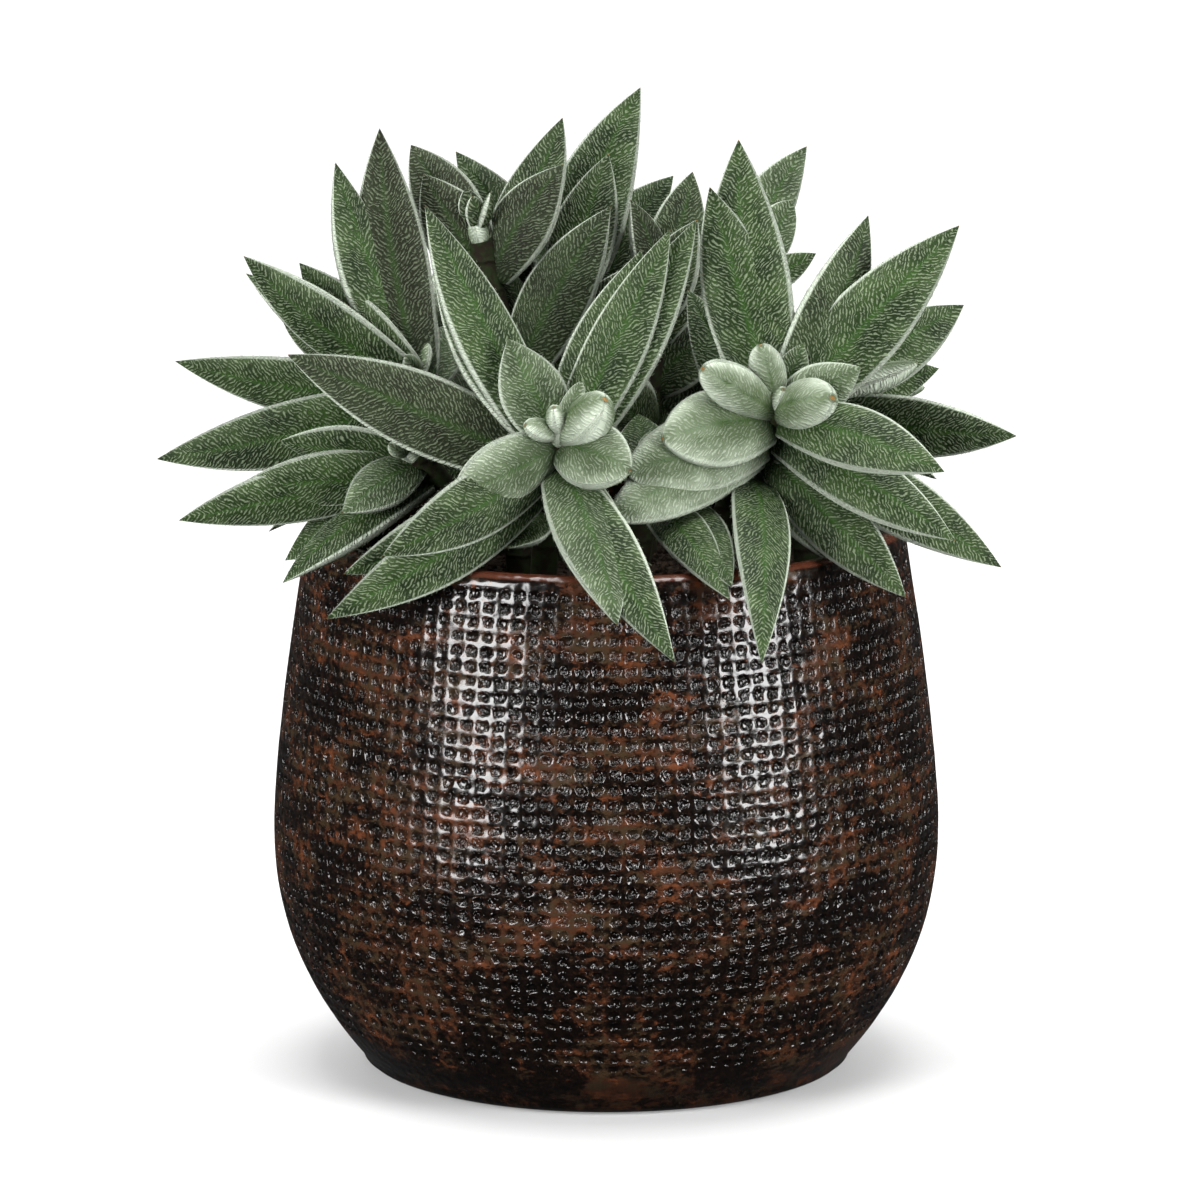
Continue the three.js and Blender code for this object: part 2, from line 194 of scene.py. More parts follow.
class Graph:
    """A node tree of any kind, to which each call adds a node."""

    def __init__(self, tree: bpy.types.NodeTree) -> None:
        """Keeps the tree.

        Args:
            tree: The node tree that nodes are added to.
        """
        self.tree = tree

    def node(
        self, kind: str, settings: Optional[Settings] = None, inputs: Optional[Inputs] = None
    ) -> bpy.types.Node:
        """Adds one node.

        Args:
            kind: The node's type.
            settings: Its settings, made before its sockets are filled.
            inputs: What goes into its sockets, by name or number: a link or a plain value.

        Returns:
            The node.
        """
        node = self.tree.nodes.new(kind)
        for name, setting in (settings or {}).items():
            setattr(node, name, setting)
        for key, given in (inputs or {}).items():
            socket = self._socket(node, key)
            if isinstance(given, Link):
                self.tree.links.new(given.socket, socket)
            else:
                socket.default_value = given
        return node

    @staticmethod
    def _socket(node: bpy.types.Node, key: int | str) -> bpy.types.NodeSocket:
        """The input socket of that number, or the one in use of that name."""
        named = (socket for socket in node.inputs if socket.name == key and socket.enabled)
        return node.inputs[key] if isinstance(key, int) else next(named)

    def value(
        self,
        kind: str,
        settings: Optional[Settings] = None,
        inputs: Optional[Inputs] = None,
        output: int | str = 0,
    ) -> Value:
        """Adds a node and returns one of its outputs as a number or as geometry."""
        return Value(self, self.node(kind, settings, inputs).outputs[output])

    def arrow(
        self,
        kind: str,
        settings: Optional[Settings] = None,
        inputs: Optional[Inputs] = None,
        output: int | str = 0,
    ) -> Arrow:
        """Adds a node and returns one of its outputs as a vector or a colour."""
        return Arrow(self, self.node(kind, settings, inputs).outputs[output])

    def math(self, operation: str, *values: Number) -> Value:
        """Adds a Math node.

        Args:
            operation: What it works out.
            *values: What goes into it, in order.

        Returns:
            Its result.
        """
        return self.value("ShaderNodeMath", {"operation": operation}, dict(enumerate(values)))

    def combine(self, x: Number, y: Number, z: Number) -> Arrow:
        """The vector of three numbers."""
        return self.arrow("ShaderNodeCombineXYZ", inputs={0: x, 1: y, 2: z})

    def mix(self, share: Number, a: Any, b: Any) -> Arrow:
        """Mixes two colours.

        Args:
            share: How much of b there is, from 0 to 1.
            a: The first colour.
            b: The second colour.

        Returns:
            The mixed colour.
        """
        return self.arrow("ShaderNodeMix", {"data_type": "RGBA"}, {0: share, 6: a, 7: b}, output=2)

    def noise(self, place: Arrow, scale: float, detail: float = 2.0, rough: float = 0.5) -> Value:
        """Soft cloudy noise round 0.5 at a place, with features about 1/scale across."""
        inputs = {"Vector": place, "Scale": scale, "Detail": detail, "Roughness": rough}
        return self.value("ShaderNodeTexNoise", inputs=inputs)

    def drift(self, place: Arrow, scale: float, amount: float) -> Arrow:
        """Moves a place about, so that a pattern read there loses its straight lines.

        Args:
            place: The place.
            scale: How fine the drift is.
            amount: The furthest that it moves.

        Returns:
            The moved place.
        """
        cloud = self.arrow("ShaderNodeTexNoise", inputs={"Vector": place, "Scale": scale}, output=1)
        return place + (cloud - (0.5, 0.5, 0.5)) * (2 * amount)

    def cells(self, place: Arrow, scale: float) -> Value:
        """How far a place is from the nearest of many scattered points."""
        return self.value("ShaderNodeTexVoronoi", inputs={"Vector": place, "Scale": scale})


class Maker(Graph):
    """A Geometry Nodes tree with named inputs, which turns a mesh into a finished plain mesh."""

    KINDS = {
        int: "NodeSocketInt",
        float: "NodeSocketFloat",
        bpy.types.Material: "NodeSocketMaterial",
    }

    def __init__(self, name: str, given: Settings) -> None:
        """Makes the tree and its inputs.

        Args:
            name: The tree's name.
            given: The inputs by name, with the values that they get.
        """
        super().__init__(bpy.data.node_groups.new(name, "GeometryNodeTree"))
        for way in ("INPUT", "OUTPUT"):
            self.tree.interface.new_socket("Geometry", in_out=way, socket_type="NodeSocketGeometry")
        self.given = given
        self.sockets = {}
        for label, value in given.items():
            kind = self.KINDS[type(value)]
            socket = self.tree.interface.new_socket(label, in_out="INPUT", socket_type=kind)
            self.sockets[label] = socket.identifier
        self.start = self.tree.nodes.new("NodeGroupInput")
        self.end = self.tree.nodes.new("NodeGroupOutput")

    def input(self, label: str) -> Value:
        """One of the tree's inputs, by name."""
        return Value(self, self.start.outputs[label])

    def step(self, kind: str, settings: Optional[Settings] = None, **inputs: Any) -> Value:
        """Adds a node that takes geometry and gives geometry.

        Args:
            kind: The node's type.
            settings: Its settings.
            **inputs: What goes into its sockets, with _ for a space in their names.

        Returns:
            Its first output.
        """
        return self.value(kind, settings, spaced(inputs))

    def named(self, name: str) -> Value:
        """An attribute of the geometry that holds numbers, by name."""
        return self.value("GeometryNodeInputNamedAttribute", {"data_type": "FLOAT"}, {"Name": name})

    def named_arrow(self, name: str) -> Arrow:
        """An attribute of the geometry that holds vectors, by name."""
        settings = {"data_type": "FLOAT_VECTOR"}
        return self.arrow("GeometryNodeInputNamedAttribute", settings, {"Name": name})

    def place(self) -> Arrow:
        """Where each point is."""
        return self.arrow("GeometryNodeInputPosition")

    def store(self, geometry: Value, name: str, given: Value | Arrow) -> Value:
        """Keeps a value or vector of each point as an attribute.

        Args:
            geometry: The geometry.
            name: The attribute's name.
            given: What it holds.

        Returns:
            The geometry with the attribute.
        """
        kind = "FLOAT_VECTOR" if isinstance(given, Arrow) else "FLOAT"
        settings = {"data_type": kind, "domain": "POINT"}
        return self.step(
            "GeometryNodeStoreNamedAttribute", settings, Geometry=geometry, Name=name, Value=given
        )

    def random(self, low: float, high: float, seed: int) -> Value:
        """A number drawn for each point or instance between two limits, the same at each run."""
        inputs = {2: low, 3: high, "Seed": seed}
        return self.value("FunctionNodeRandomValue", {"data_type": "FLOAT"}, inputs, output=1)

    def join(self, *parts: Value) -> Value:
        """Joins geometries.

        Args:
            *parts: The geometries. The last of them comes first in the result.

        Returns:
            The one geometry of them all.
        """
        joined = self.node("GeometryNodeJoinGeometry")
        for part in parts:
            self.tree.links.new(part.socket, joined.inputs[0])
        return Value(self, joined.outputs[0])

    def settle(self, geometry: Value, place: Arrow, flip: bool = False) -> Value:
        """Moves points to their places and closes the seams and poles where they meet.

        Args:
            geometry: The geometry.
            place: Where each point goes.
            flip: Whether its faces are turned over.

        Returns:
            The geometry in its place.
        """
        made = self.step("GeometryNodeSetPosition", Geometry=geometry, Position=place)
        if flip:
            made = self.step("GeometryNodeFlipFaces", Mesh=made)
        return self.step("GeometryNodeMergeByDistance", Geometry=made, Distance=WELD)

    def turned_sheet(self, *names: str) -> tuple[Value, Value, Arrow, Value, Value]:
        """Makes a flat sheet that can be turned about +Z along the line that the tree is given.

        Args:
            *names: The line's attributes that the sheet takes over.

        Returns:
            The sheet, and for each of its points its share of the full turn, the way out from
            the axis, and the line's radius and height.
        """
        line = self.input("Geometry")
        settings = {"component": "MESH"}
        count = self.value("GeometryNodeAttributeDomainSize", settings, {"Geometry": line})
        around = self.input("Around") + 1
        sheet = self.step(
            "GeometryNodeMeshGrid", Size_X=1.0, Size_Y=1.0, Vertices_X=around, Vertices_Y=count
        )
        x, y, _ = self.place().parts()
        index = self.math("ROUND", (y + 0.5) * (count - 1))
        for name in names:
            inputs = {"Geometry": line, "Value": self.named(name), "Index": index}
            taken = self.value("GeometryNodeSampleIndex", {"data_type": "FLOAT"}, inputs)
            sheet = self.store(sheet, name, taken)
        inputs = {"Geometry": line, "Value": self.place(), "Index": index}
        spot = self.arrow("GeometryNodeSampleIndex", {"data_type": "FLOAT_VECTOR"}, inputs)
        radius, _, height = spot.parts()
        turn = x * math.tau
        way = self.combine(self.math("SINE", turn), self.math("COSINE", turn) * -1, 0.0)
        return sheet, x, way, radius, height

    def finish(self, geometry: Value, finishes: dict[str, Optional[Value]]) -> None:
        """Ends the tree: instances become real, each part gets its material, and it is smooth.

        Args:
            geometry: What the tree has made.
            finishes: The name of each material input, with the points that it is for, or None
                for all of them.
        """
        made = self.step("GeometryNodeRealizeInstances", Geometry=geometry)
        made = self.step("GeometryNodeSetShadeSmooth", Geometry=made)
        for label, chosen in finishes.items():
            picked = {} if chosen is None else {"Selection": chosen}
            made = self.step(
                "GeometryNodeSetMaterial", Geometry=made, Material=self.input(label), **picked
            )
        self.tree.links.new(made.socket, self.end.inputs[0])

    def make(self, name: str, base: bpy.types.Mesh) -> bpy.types.Object:
        """Runs the tree on a mesh.

        Args:
            name: The name of the new piece.
            base: The mesh that the tree starts from.

        Returns:
            An object with a plain mesh and no modifier.
        """
        piece = bpy.data.objects.new(name, base)
        bpy.context.scene.collection.objects.link(piece)
        modifier = piece.modifiers.new("make", "NODES")
        modifier.node_group = self.tree
        for label, value in self.given.items():
            modifier[self.sockets[label]] = value
        graph = bpy.context.evaluated_depsgraph_get()
        evaluated = piece.evaluated_get(graph)
        mesh = bpy.data.meshes.new_from_object(
            evaluated, preserve_all_data_layers=True, depsgraph=graph
        )
        piece.modifiers.clear()
        piece.data = mesh
        while mesh.materials and mesh.materials[0] is None:
            mesh.materials.pop(index=0)
        mesh.name = name
        return piece


def base_mesh(
    name: str,
    points: Iterable[Vector],
    edges: Iterable[tuple[int, int]] = (),
    numbers: Optional[dict[str, list[float]]] = None,
    arrows: Optional[dict[str, list[Vector]]] = None,
) -> bpy.types.Mesh:
    """Makes a mesh of points and lines for a tree to start from.

    Args:
        name: The mesh's name.
        points: Its points, in metres.
        edges: The lines between them.
        numbers: Attributes of a number for each point.
        arrows: Attributes of a vector for each point.

    Returns:
        The mesh.
    """
    mesh = bpy.data.meshes.new(name)
    mesh.from_pydata([tuple(point) for point in points], list(edges), [])
    for label, values in (numbers or {}).items():
        mesh.attributes.new(label, "FLOAT", "POINT").data.foreach_set("value", values)
    for label, values in (arrows or {}).items():
        flat = [part for vector in values for part in vector]
        mesh.attributes.new(label, "FLOAT_VECTOR", "POINT").data.foreach_set("vector", flat)
    return mesh


# Finishes


class Finish:
    """What a surface looks like: each kind of finish fills in paint().

    The relief is how high its bumps stand, in millimetres, and the gloss how strongly it mirrors.
    """

    name: str
    relief: float
    gloss: float

    def material(self) -> bpy.types.Material:
        """Makes the material.

        Returns:
            A new material with this finish's nodes.
        """
        material = bpy.data.materials.new(self.name)
        material.use_nodes = True
        material.node_tree.nodes.clear()
        graph = Graph(material.node_tree)
        shader = self.paint(graph)
        graph.node("ShaderNodeOutputMaterial", inputs={"Surface": shader})
        return material

    def paint(self, graph: Graph) -> Value:
        """Adds the finish's nodes.

        Args:
            graph: The material's graph.

        Returns:
            The shader.
        """
        raise NotImplementedError

    @staticmethod
    def here(graph: Graph) -> Arrow:
        """The place on the object, in millimetres."""
        return graph.arrow("ShaderNodeTexCoord", output="Object") * TO_MM

    @staticmethod
    def stored(graph: Graph, name: str) -> Value:
        """A number stored on the mesh."""
        return graph.value("ShaderNodeAttribute", {"attribute_name": name}, output="Fac")

    @staticmethod
    def stored_arrow(graph: Graph, name: str) -> Arrow:
        """A vector stored on the mesh."""
        return graph.arrow("ShaderNodeAttribute", {"attribute_name": name}, output="Vector")

    def surface(
        self, graph: Graph, height: Value, body: Arrow | Colour, rough: Number, **others: Any
    ) -> Value:
        """The surface shader, with this finish's relief and gloss.

        Args:
            graph: The material's graph.
            height: The relief, from 0 to 1.
            body: The colour.
            rough: The roughness.
            **others: The shader's other sockets, with _ for a space in their names.

        Returns:
            The shader.
        """
        bump = {"Height": height, "Distance": self.relief * MM}
        inputs = {
            "Base Color": body,
            "Roughness": rough,
            "Specular IOR Level": self.gloss,
            "Normal": graph.arrow("ShaderNodeBump", inputs=bump),
        }
        return graph.value("ShaderNodeBsdfPrincipled", inputs={**inputs, **spaced(others)})


@dataclass(frozen=True)
class LeafFinish(Finish):
    """Fleshy leaf skin under a felt of lying hairs, with a green midline, a white edge that is partly a
    painted sheen, and painted shade towards the root.

    The colours shift with leaf_tone, from pale new leaves at -1 to brownish old ones at 1. The
    strokes are rows of hairs, at a pitch in millimetres, that lean off the midline in degrees.
    """

    name: str = "felted_leaf"
    # The deep green of the flesh, which is also painted as shade at the root.
    deep: Colour = (0.003, 0.009, 0.001, 1)
    green: Colour = (0.011, 0.028, 0.003, 1)
    pale: Colour = (0.048, 0.071, 0.030, 1)
    brown: Colour = (0.006, 0.006, 0.003, 1)
    streak: Colour = (0.014, 0.042, 0.004, 1)
    hair: Colour = (0.150, 0.187, 0.115, 1)
    down: Colour = (0.33, 0.37, 0.30, 1)
    dull: Colour = (0.050, 0.058, 0.036, 1)
    # The edge colour: the white hairy margin with a painted sheen on it.
    edge: Colour = (0.37, 0.41, 0.34, 1)
    tip: Colour = (0.20, 0.10, 0.025, 1)
    roughness: float = 0.6
    gloss: float = 0.1
    relief: float = 0.45
    midline_width: float = 0.11
    stroke_pitch: float = 0.66
    stroke_lean: float = 42.0
    wide_bend: tuple[float, float] = (0.16, 1.6)
    fine_bend: tuple[float, float] = (0.5, 0.75)

    def paint(self, graph: Graph) -> Value:
        """Adds the leaf's nodes.

        Args:
            graph: The material's graph.

        Returns:
            The shader.
        """
        run = self.stored(graph, "leaf_run")
        across = abs(self.stored(graph, "leaf_across"))
        tone = self.stored(graph, "leaf_tone")
        skin = self.stored_arrow(graph, "leaf_place") * TO_MM
        cloud = graph.noise(skin, 0.16, 3.0)
        old = tone.eased(0.0, 1.0)
        young = tone.eased(0.0, -1.0)

        film = across.eased(0.3, 1.0) * 0.5 + run.eased(0.1, 0.95) * 0.25 + cloud.eased(0.35, 0.65) * 0.25
        middle = across.bell(self.midline_width) * run.eased(0.08, 0.25) * run.eased(0.99, 0.8)

        # The flesh.
        body = graph.mix(cloud.eased(0.3, 0.7), self.deep, self.green)
        body = graph.mix(old * 0.85, body, self.brown)
        body = graph.mix(young * 0.8, body, self.pale)
        body = graph.mix(middle * (0.7 - young * 0.4 - old * 0.3), body, self.streak)

        # The felt: an even veil that thickens outwards, and the strokes on it.
        strokes = self.strokes(graph, skin)
        silver = graph.mix(young, self.hair, self.down)
        silver = graph.mix(old * 0.6, silver, self.dull)
        veil = film ** 2 * (0.14 + young * 0.76)
        cover = veil + strokes * (0.45 + film * 0.25 - middle * 0.2 - young * 0.35)
        body = graph.mix(cover * run.eased(-0.1, 0.2), body, silver)

        # The white margin with its painted sheen, painted shade towards the root, and the orange point.
        # Painted sheen: the white margin is the leaf's hairy edge, brightened further as a painted
        # highlight.
        margin = across.eased(0.88, 0.96) * (0.8 - young * 0.4)
        body = graph.mix(margin, body, self.edge)
        # Painted shade: the leaf darkens towards its root, where it lies under other leaves.
        body = graph.mix(run.eased(0.35, 0.0) * 0.6, body, self.deep)
        point = run.eased(0.99, 0.998) * across.eased(0.45, 0.15)
        body = graph.mix(point, body, self.tip)

        height = strokes * (0.8 - young * 0.35) + cloud * 0.3 - middle * 0.4
        return self.surface(graph, height, body, self.roughness)

    def strokes(self, graph: Graph, skin: Arrow) -> Value:
        """Short bent strokes of lying hairs.

        Args:
            graph: The material's graph.
            skin: The place on the leaf, along it and across it, in millimetres.

        Returns:
            1 on a row of hairs and 0 between.
        """
        bent = graph.drift(skin, *self.fine_bend)
        x, y, _ = graph.drift(bent, *self.wide_bend).parts()
        lean = math.radians(self.stroke_lean)
        aside = abs(y) * math.cos(lean) - x * math.sin(lean)
        lines = graph.math("SINE", aside * (math.tau / self.stroke_pitch)) * 0.5 + 0.5
        broken = graph.noise(skin, 1.2, 1.0)
        return lines.eased(0.2, 0.85) * broken.eased(0.36, 0.54)


@dataclass(frozen=True)
class HairFinish(Finish):
    """Short silvery hairs."""

    name: str = "silvery_hair"
    colour: Colour = (0.20, 0.24, 0.17, 1)
    dull: Colour = (0.10, 0.13, 0.08, 1)
    roughness: float = 0.55
    gloss: float = 0.5
    relief: float = 0.02

    def paint(self, graph: Graph) -> Value:
        """Adds the hairs' nodes.

        Args:
            graph: The material's graph.

        Returns:
            The shader.
        """
        cloud = graph.noise(self.here(graph), 0.35, 2.0)
        body = graph.mix(cloud.eased(0.35, 0.65), self.dull, self.colour)
        return self.surface(graph, cloud, body, self.roughness)


@dataclass(frozen=True)
class StemFinish(Finish):
    """Green-brown stem with darker rings where old leaves stood, at a pitch in millimetres."""

    name: str = "stem_bark"
    green: Colour = (0.009, 0.015, 0.004, 1)
    brown: Colour = (0.008, 0.006, 0.003, 1)
    scar: Colour = (0.006, 0.004, 0.002, 1)
    ring_pitch: float = 6.0
    roughness: float = 0.8
    gloss: float = 0.1
    relief: float = 0.3

    def paint(self, graph: Graph) -> Value:
        """Adds the stem's nodes.

        Args:
            graph: The material's graph.

        Returns:
            The shader.
        """
        here = self.here(graph)
        cloud = graph.noise(here, 0.5, 3.0)
        height = here.parts()[2]
        ring = ((height + cloud * 2.0) / self.ring_pitch).fraction() - 0.5
        body = graph.mix(cloud.eased(0.4, 0.6), self.brown, self.green)
        body = graph.mix(ring.bell(0.09) * 0.7, body, self.scar)
        return self.surface(graph, cloud + ring.bell(0.08) * 0.8, body, self.roughness)


@dataclass(frozen=True)
class GlazeFinish(Finish):
    """Dark glossy glaze that broke into rust patches, over a net of pressed pits.

    The heights at which the foot darkens and the lip turns rusty are in millimetres. Each pit's
    inside has a grain of its own, counted per pit across and up.
    """

    columns: int
    name: str = "pitted_glaze"
    black: Colour = (0.0008, 0.0005, 0.0004, 1)
    umber: Colour = (0.0045, 0.0021, 0.0012, 1)
    rust: Colour = (0.031, 0.011, 0.0045, 1)
    bright: Colour = (0.066, 0.020, 0.007, 1)
    tan: Colour = (0.024, 0.014, 0.0065, 1)
    rim: Colour = (0.050, 0.014, 0.007, 1)
    gloss: float = 0.36
    relief: float = 0.7
    dark_foot: tuple[float, float] = (13.0, 5.0)
    rusty_lip: tuple[float, float] = (114.2, 114.8)
    pit_grain: tuple[float, float] = (4.0, 1.8)
    wander: tuple[float, float] = (0.45, 0.28)

    def paint(self, graph: Graph) -> Value:
        """Adds the glaze's nodes.

        Args:
            graph: The material's graph.

        Returns:
            The shader.
        """
        # The pits, as in the wall's mesh but a little astray, with a glint in each.
        here = self.here(graph)
        x, y, z = here.parts()
        row = self.stored(graph, "pit_row")
        weight = self.stored(graph, "pit_weight")
        column = graph.math("ARCTAN2", x, y * -1) * (self.columns / math.tau)
        off_x, _, off_z = (graph.drift(here, *self.wander) - here).parts()
        pit = pit_shape(graph, column + off_x, row + off_z)
        grain_x, grain_z = self.pit_grain
        inner = graph.noise(graph.combine(column * grain_x, row * grain_z, 0.0), 1.0, 1.0)
        glint = inner.eased(0.38, 0.62) * pit.eased(0.05, 0.4) * weight

        # The dark ground, and the patches where the glaze broke.
        wide = graph.noise(here * (0.8, 0.8, 1.1), 0.075, 4.0, 0.65)
        streak = graph.noise(here * (0.2, 0.2, 1.2), 0.3, 3.0)
        peel = graph.noise(here, 0.55, 0.0)
        speck = graph.noise(here, 0.8, 4.0, 0.75)
        veins = graph.noise(graph.drift(here, 0.4, 1.4) * (0.7, 0.7, 1.1), 0.7, 4.0, 0.75)
        tint = graph.noise(here * (0.6, 0.6, 1.2), 0.3, 3.0, 0.6)
        worn = (wide * 0.6 + streak * 0.15 + veins * 0.5).eased(0.6, 0.71)
        body = graph.mix(speck.eased(0.4, 0.65), self.black, self.umber)
        patch = graph.mix(tint.eased(0.42, 0.52), self.tan, self.rust)
        patch = graph.mix(tint.eased(0.54, 0.66), patch, self.bright)
        body = graph.mix(worn * 0.95, body, patch)

        # The pits, the foot and the lip.
        body = graph.mix(pit * weight * 0.8, body, self.black)
        body = graph.mix(z.eased(*self.dark_foot) * 0.6, body, self.black)
        lip = z.eased(*self.rusty_lip) * (0.4 + speck * 0.9)
        body = graph.mix(lip, body, self.rim)

        rough = 0.15 + worn * 0.07 + speck * 0.05
        height = streak * 0.12 + peel * 0.3 + glint * 0.5 - pit * weight * 1.1
        return self.surface(graph, height, body, rough)


@dataclass(frozen=True)
class SoilFinish(Finish):
    """Dark crumbly peat soil."""

    name: str = "peat_soil"
    dark: Colour = (0.004, 0.003, 0.002, 1)
    light: Colour = (0.018, 0.012, 0.008, 1)
    roughness: float = 0.95
    gloss: float = 0.05
    relief: float = 0.8

    def paint(self, graph: Graph) -> Value:
        """Adds the soil's nodes.

        Args:
            graph: The material's graph.

        Returns:
            The shader.
        """
        here = self.here(graph)
        crumbs = graph.cells(graph.drift(here, 0.5, 0.8), 0.8)
        cloud = graph.noise(here, 0.6, 5.0, 0.6)
        body = graph.mix((cloud * crumbs * 2.0).eased(0.2, 0.8), self.dark, self.light)
        return self.surface(graph, crumbs + cloud, body, self.roughness)


@dataclass(frozen=True)
class FloorFinish(Finish):
    """Plain white studio floor that glows a little in itself."""

    name: str = "white_floor"
    colour: Colour = (0.4, 0.4, 0.4, 1)
    glow: float = 0.5
    roughness: float = 0.9
    gloss: float = 0.1
    relief: float = 0.01

    def paint(self, graph: Graph) -> Value:
        """Adds the floor's nodes.

        Args:
            graph: The material's graph.

        Returns:
            The shader.
        """
        cloud = graph.noise(self.here(graph), 0.02)
        glow = {"Emission_Color": self.colour, "Emission_Strength": self.glow}
        return self.surface(graph, cloud, self.colour, self.roughness, **glow)


def pit_shape(graph: Graph, column: Value, row: Value) -> Value:
    """The pressed pits of the pot's wall: 1 in the middle of a pit and 0 on the ridges.

    Args:
        graph: The graph, of the material or of the mesh.
        column: The place round the pot, in pits.
        row: The place up the wall, in pits.

    Returns:
        How deep the wall is pressed there.
    """
    u = abs(column.fraction() - 0.5)
    v = abs(row.fraction() - 0.5)
    far = (u ** 3 + v ** 3) ** (1 / 3)
    cell = graph.combine(column.floor(), row.floor(), 0.0)
    drawn = graph.value("ShaderNodeTexWhiteNoise", {"noise_dimensions": "3D"}, {"Vector": cell})
    return far.eased(0.42, 0.16) * (0.45 + drawn * 0.55)


# Pot and soil


@dataclass(frozen=True)
class PotForm:
    """The pot's sizes in millimetres, as in the part."""

    height: float = 115.5
    belly_radius: float = 70.0
    belly_height: float = 52.0
    foot_radius: float = 49.0
    foot_power: float = 2.3
    rim_radius: float = 62.2
    rim_power: float = 1.4
    wall: float = 5.0
    floor: float = 7.0
    foot_round: float = 3.0

    def outside(self, z: float) -> float:
        """The wall's outer radius.

        Args:
            z: The height on the wall.

        Returns:
            The radius there.
        """
        below = max(0.0, 1 - z / self.belly_height)
        above = max(0.0, (z - self.belly_height) / (self.height - self.belly_height))
        foot = (self.belly_radius - self.foot_radius) * below ** self.foot_power
        rim = (self.belly_radius - self.rim_radius) * above ** self.rim_power
        return self.belly_radius - foot - rim

    def inside(self, z: float) -> float:
        """The wall's inner radius at a height."""
        return self.outside(z) - self.wall


@dataclass(frozen=True)
class PitNet:
    """The net of pits that is pressed into the wall, in millimetres.

    The pits come in over the fade at both ends of the net, and the wall between them sinks by up
    to the wobble.
    """

    columns: int = 122
    rows: int = 35
    from_height: float = 10.5
    to_height: float = 112.9
    fade: float = 1.6
    depth: float = 0.42
    points_per_pit: int = 4
    wobble: float = 0.35

    def weight(self, z: float) -> float:
        """How strongly the wall is pressed.

        Args:
            z: The height on the wall.

        Returns:
            A share from 0 to 1.
        """
        low = (z - self.from_height) / self.fade
        high = (self.to_height - z) / self.fade
        return max(0.0, min(1.0, low, high))


@dataclass
class Pot:
    """The glazed pot: one wall turned about +Z, with a rounded lip and a net of pressed pits."""

    form: PotForm
    net: PitNet
    lip_steps: int = 7
    foot_steps: int = 4
    inside_steps: int = 8
    wall_steps: int = 2000
    foot_ring: float = 0.6
    swell_scale: float = 45.0

    def profile(self) -> list[tuple[float, float, float]]:
        """The wall's line from the middle of the foot, over the lip, to the middle of the floor.

        Returns:
            Radius, height and row of pits at each point.
        """
        form, net, steps = self.form, self.net, self.wall_steps
        shoulder = form.height - form.wall / 2
        heights = [form.foot_round + (shoulder - form.foot_round) * i / steps for i in range(steps + 1)]
        run = [0.0]
        for low, high in zip(heights, heights[1:]):
            run.append(run[-1] + math.hypot(high - low, form.outside(high) - form.outside(low)))
        start = next(r for r, z in zip(run, heights) if z >= net.from_height)
        end = next(r for r, z in zip(run, heights) if z >= net.to_height)
        pitch = (end - start) / net.rows
        step = pitch / net.points_per_pit
        before = math.ceil(start / step)
        count = int((run[-1] - start) / step)
        rows = [i / net.points_per_pit for i in range(1 - before, count + 1)]
        wall = [(form.outside(form.foot_round), form.foot_round, -start / pitch)]
        at = 0
        for row in rows:
            target = start + row * pitch
            while at < steps and run[at] < target:
                at += 1
            wall.append((form.outside(heights[at]), heights[at], row))
        bottom, top = wall[0][2], wall[-1][2]
        wall.append((form.outside(shoulder), shoulder, top + 0.2))
        line = [(0.0, 0.0, bottom), (form.foot_radius * self.foot_ring, 0.0, bottom)]
        flat = form.foot_radius - form.foot_round
        reach = wall[0][0] - flat
        for i in range(self.foot_steps):
            a = math.pi / 2 * i / self.foot_steps
            line.append((flat + reach * math.sin(a), form.foot_round * (1 - math.cos(a)), bottom))
        line += wall
        lip = form.wall / 2
        for i in range(1, self.lip_steps + 1):
            a = math.pi * i / (self.lip_steps + 1)
            radius = form.outside(shoulder) - lip + lip * math.cos(a)
            line.append((radius, shoulder + lip * math.sin(a), top + 1))
        for i in range(self.inside_steps + 1):
            z = shoulder + (form.floor - shoulder) * i / self.inside_steps
            line.append((form.inside(z), z, top + 1))
        line.append((0.0, form.floor, top + 1))
        return line

    def build(self) -> bpy.types.Object:
        """Makes the pot in place of its CAD node.

        Returns:
            The finished piece.
        """
        line = self.profile()
        points = [Vector((radius, 0, z)) * MM for radius, z, _ in line]
        wall_end = len(line) - self.inside_steps - self.lip_steps - 3
        numbers = {
            "pit_row": [row for _, _, row in line],
            "pit_weight": [self.net.weight(z) * (i <= wall_end) for i, (_, z, _) in enumerate(line)],
        }
        maker = Maker(
            "turned_wall",
            {
                "Around": self.net.columns * self.net.points_per_pit,
                "Columns": float(self.net.columns),
                "Pit Depth": self.net.depth * MM,
                "Wobble": self.net.wobble * MM,
                "Glaze": GlazeFinish(self.net.columns).material(),
            },
        )
        sheet, x, way, radius, height = maker.turned_sheet("pit_row", "pit_weight")
        row, weight = maker.named("pit_row"), maker.named("pit_weight")
        pit = pit_shape(maker, x * maker.input("Columns"), row)
        level = maker.combine(0.0, 0.0, height)
        cloud = maker.noise(way * radius + level, self.swell_scale, 1.0) - 0.5
        swell = cloud * maker.input("Wobble") * 2
        pressed = radius - (pit * maker.input("Pit Depth") + abs(swell)) * weight
        maker.finish(maker.settle(sheet, way * pressed + level), {"Glaze": None})
        return maker.make("glazed_pot", base_mesh("pot_profile", points, (), numbers))


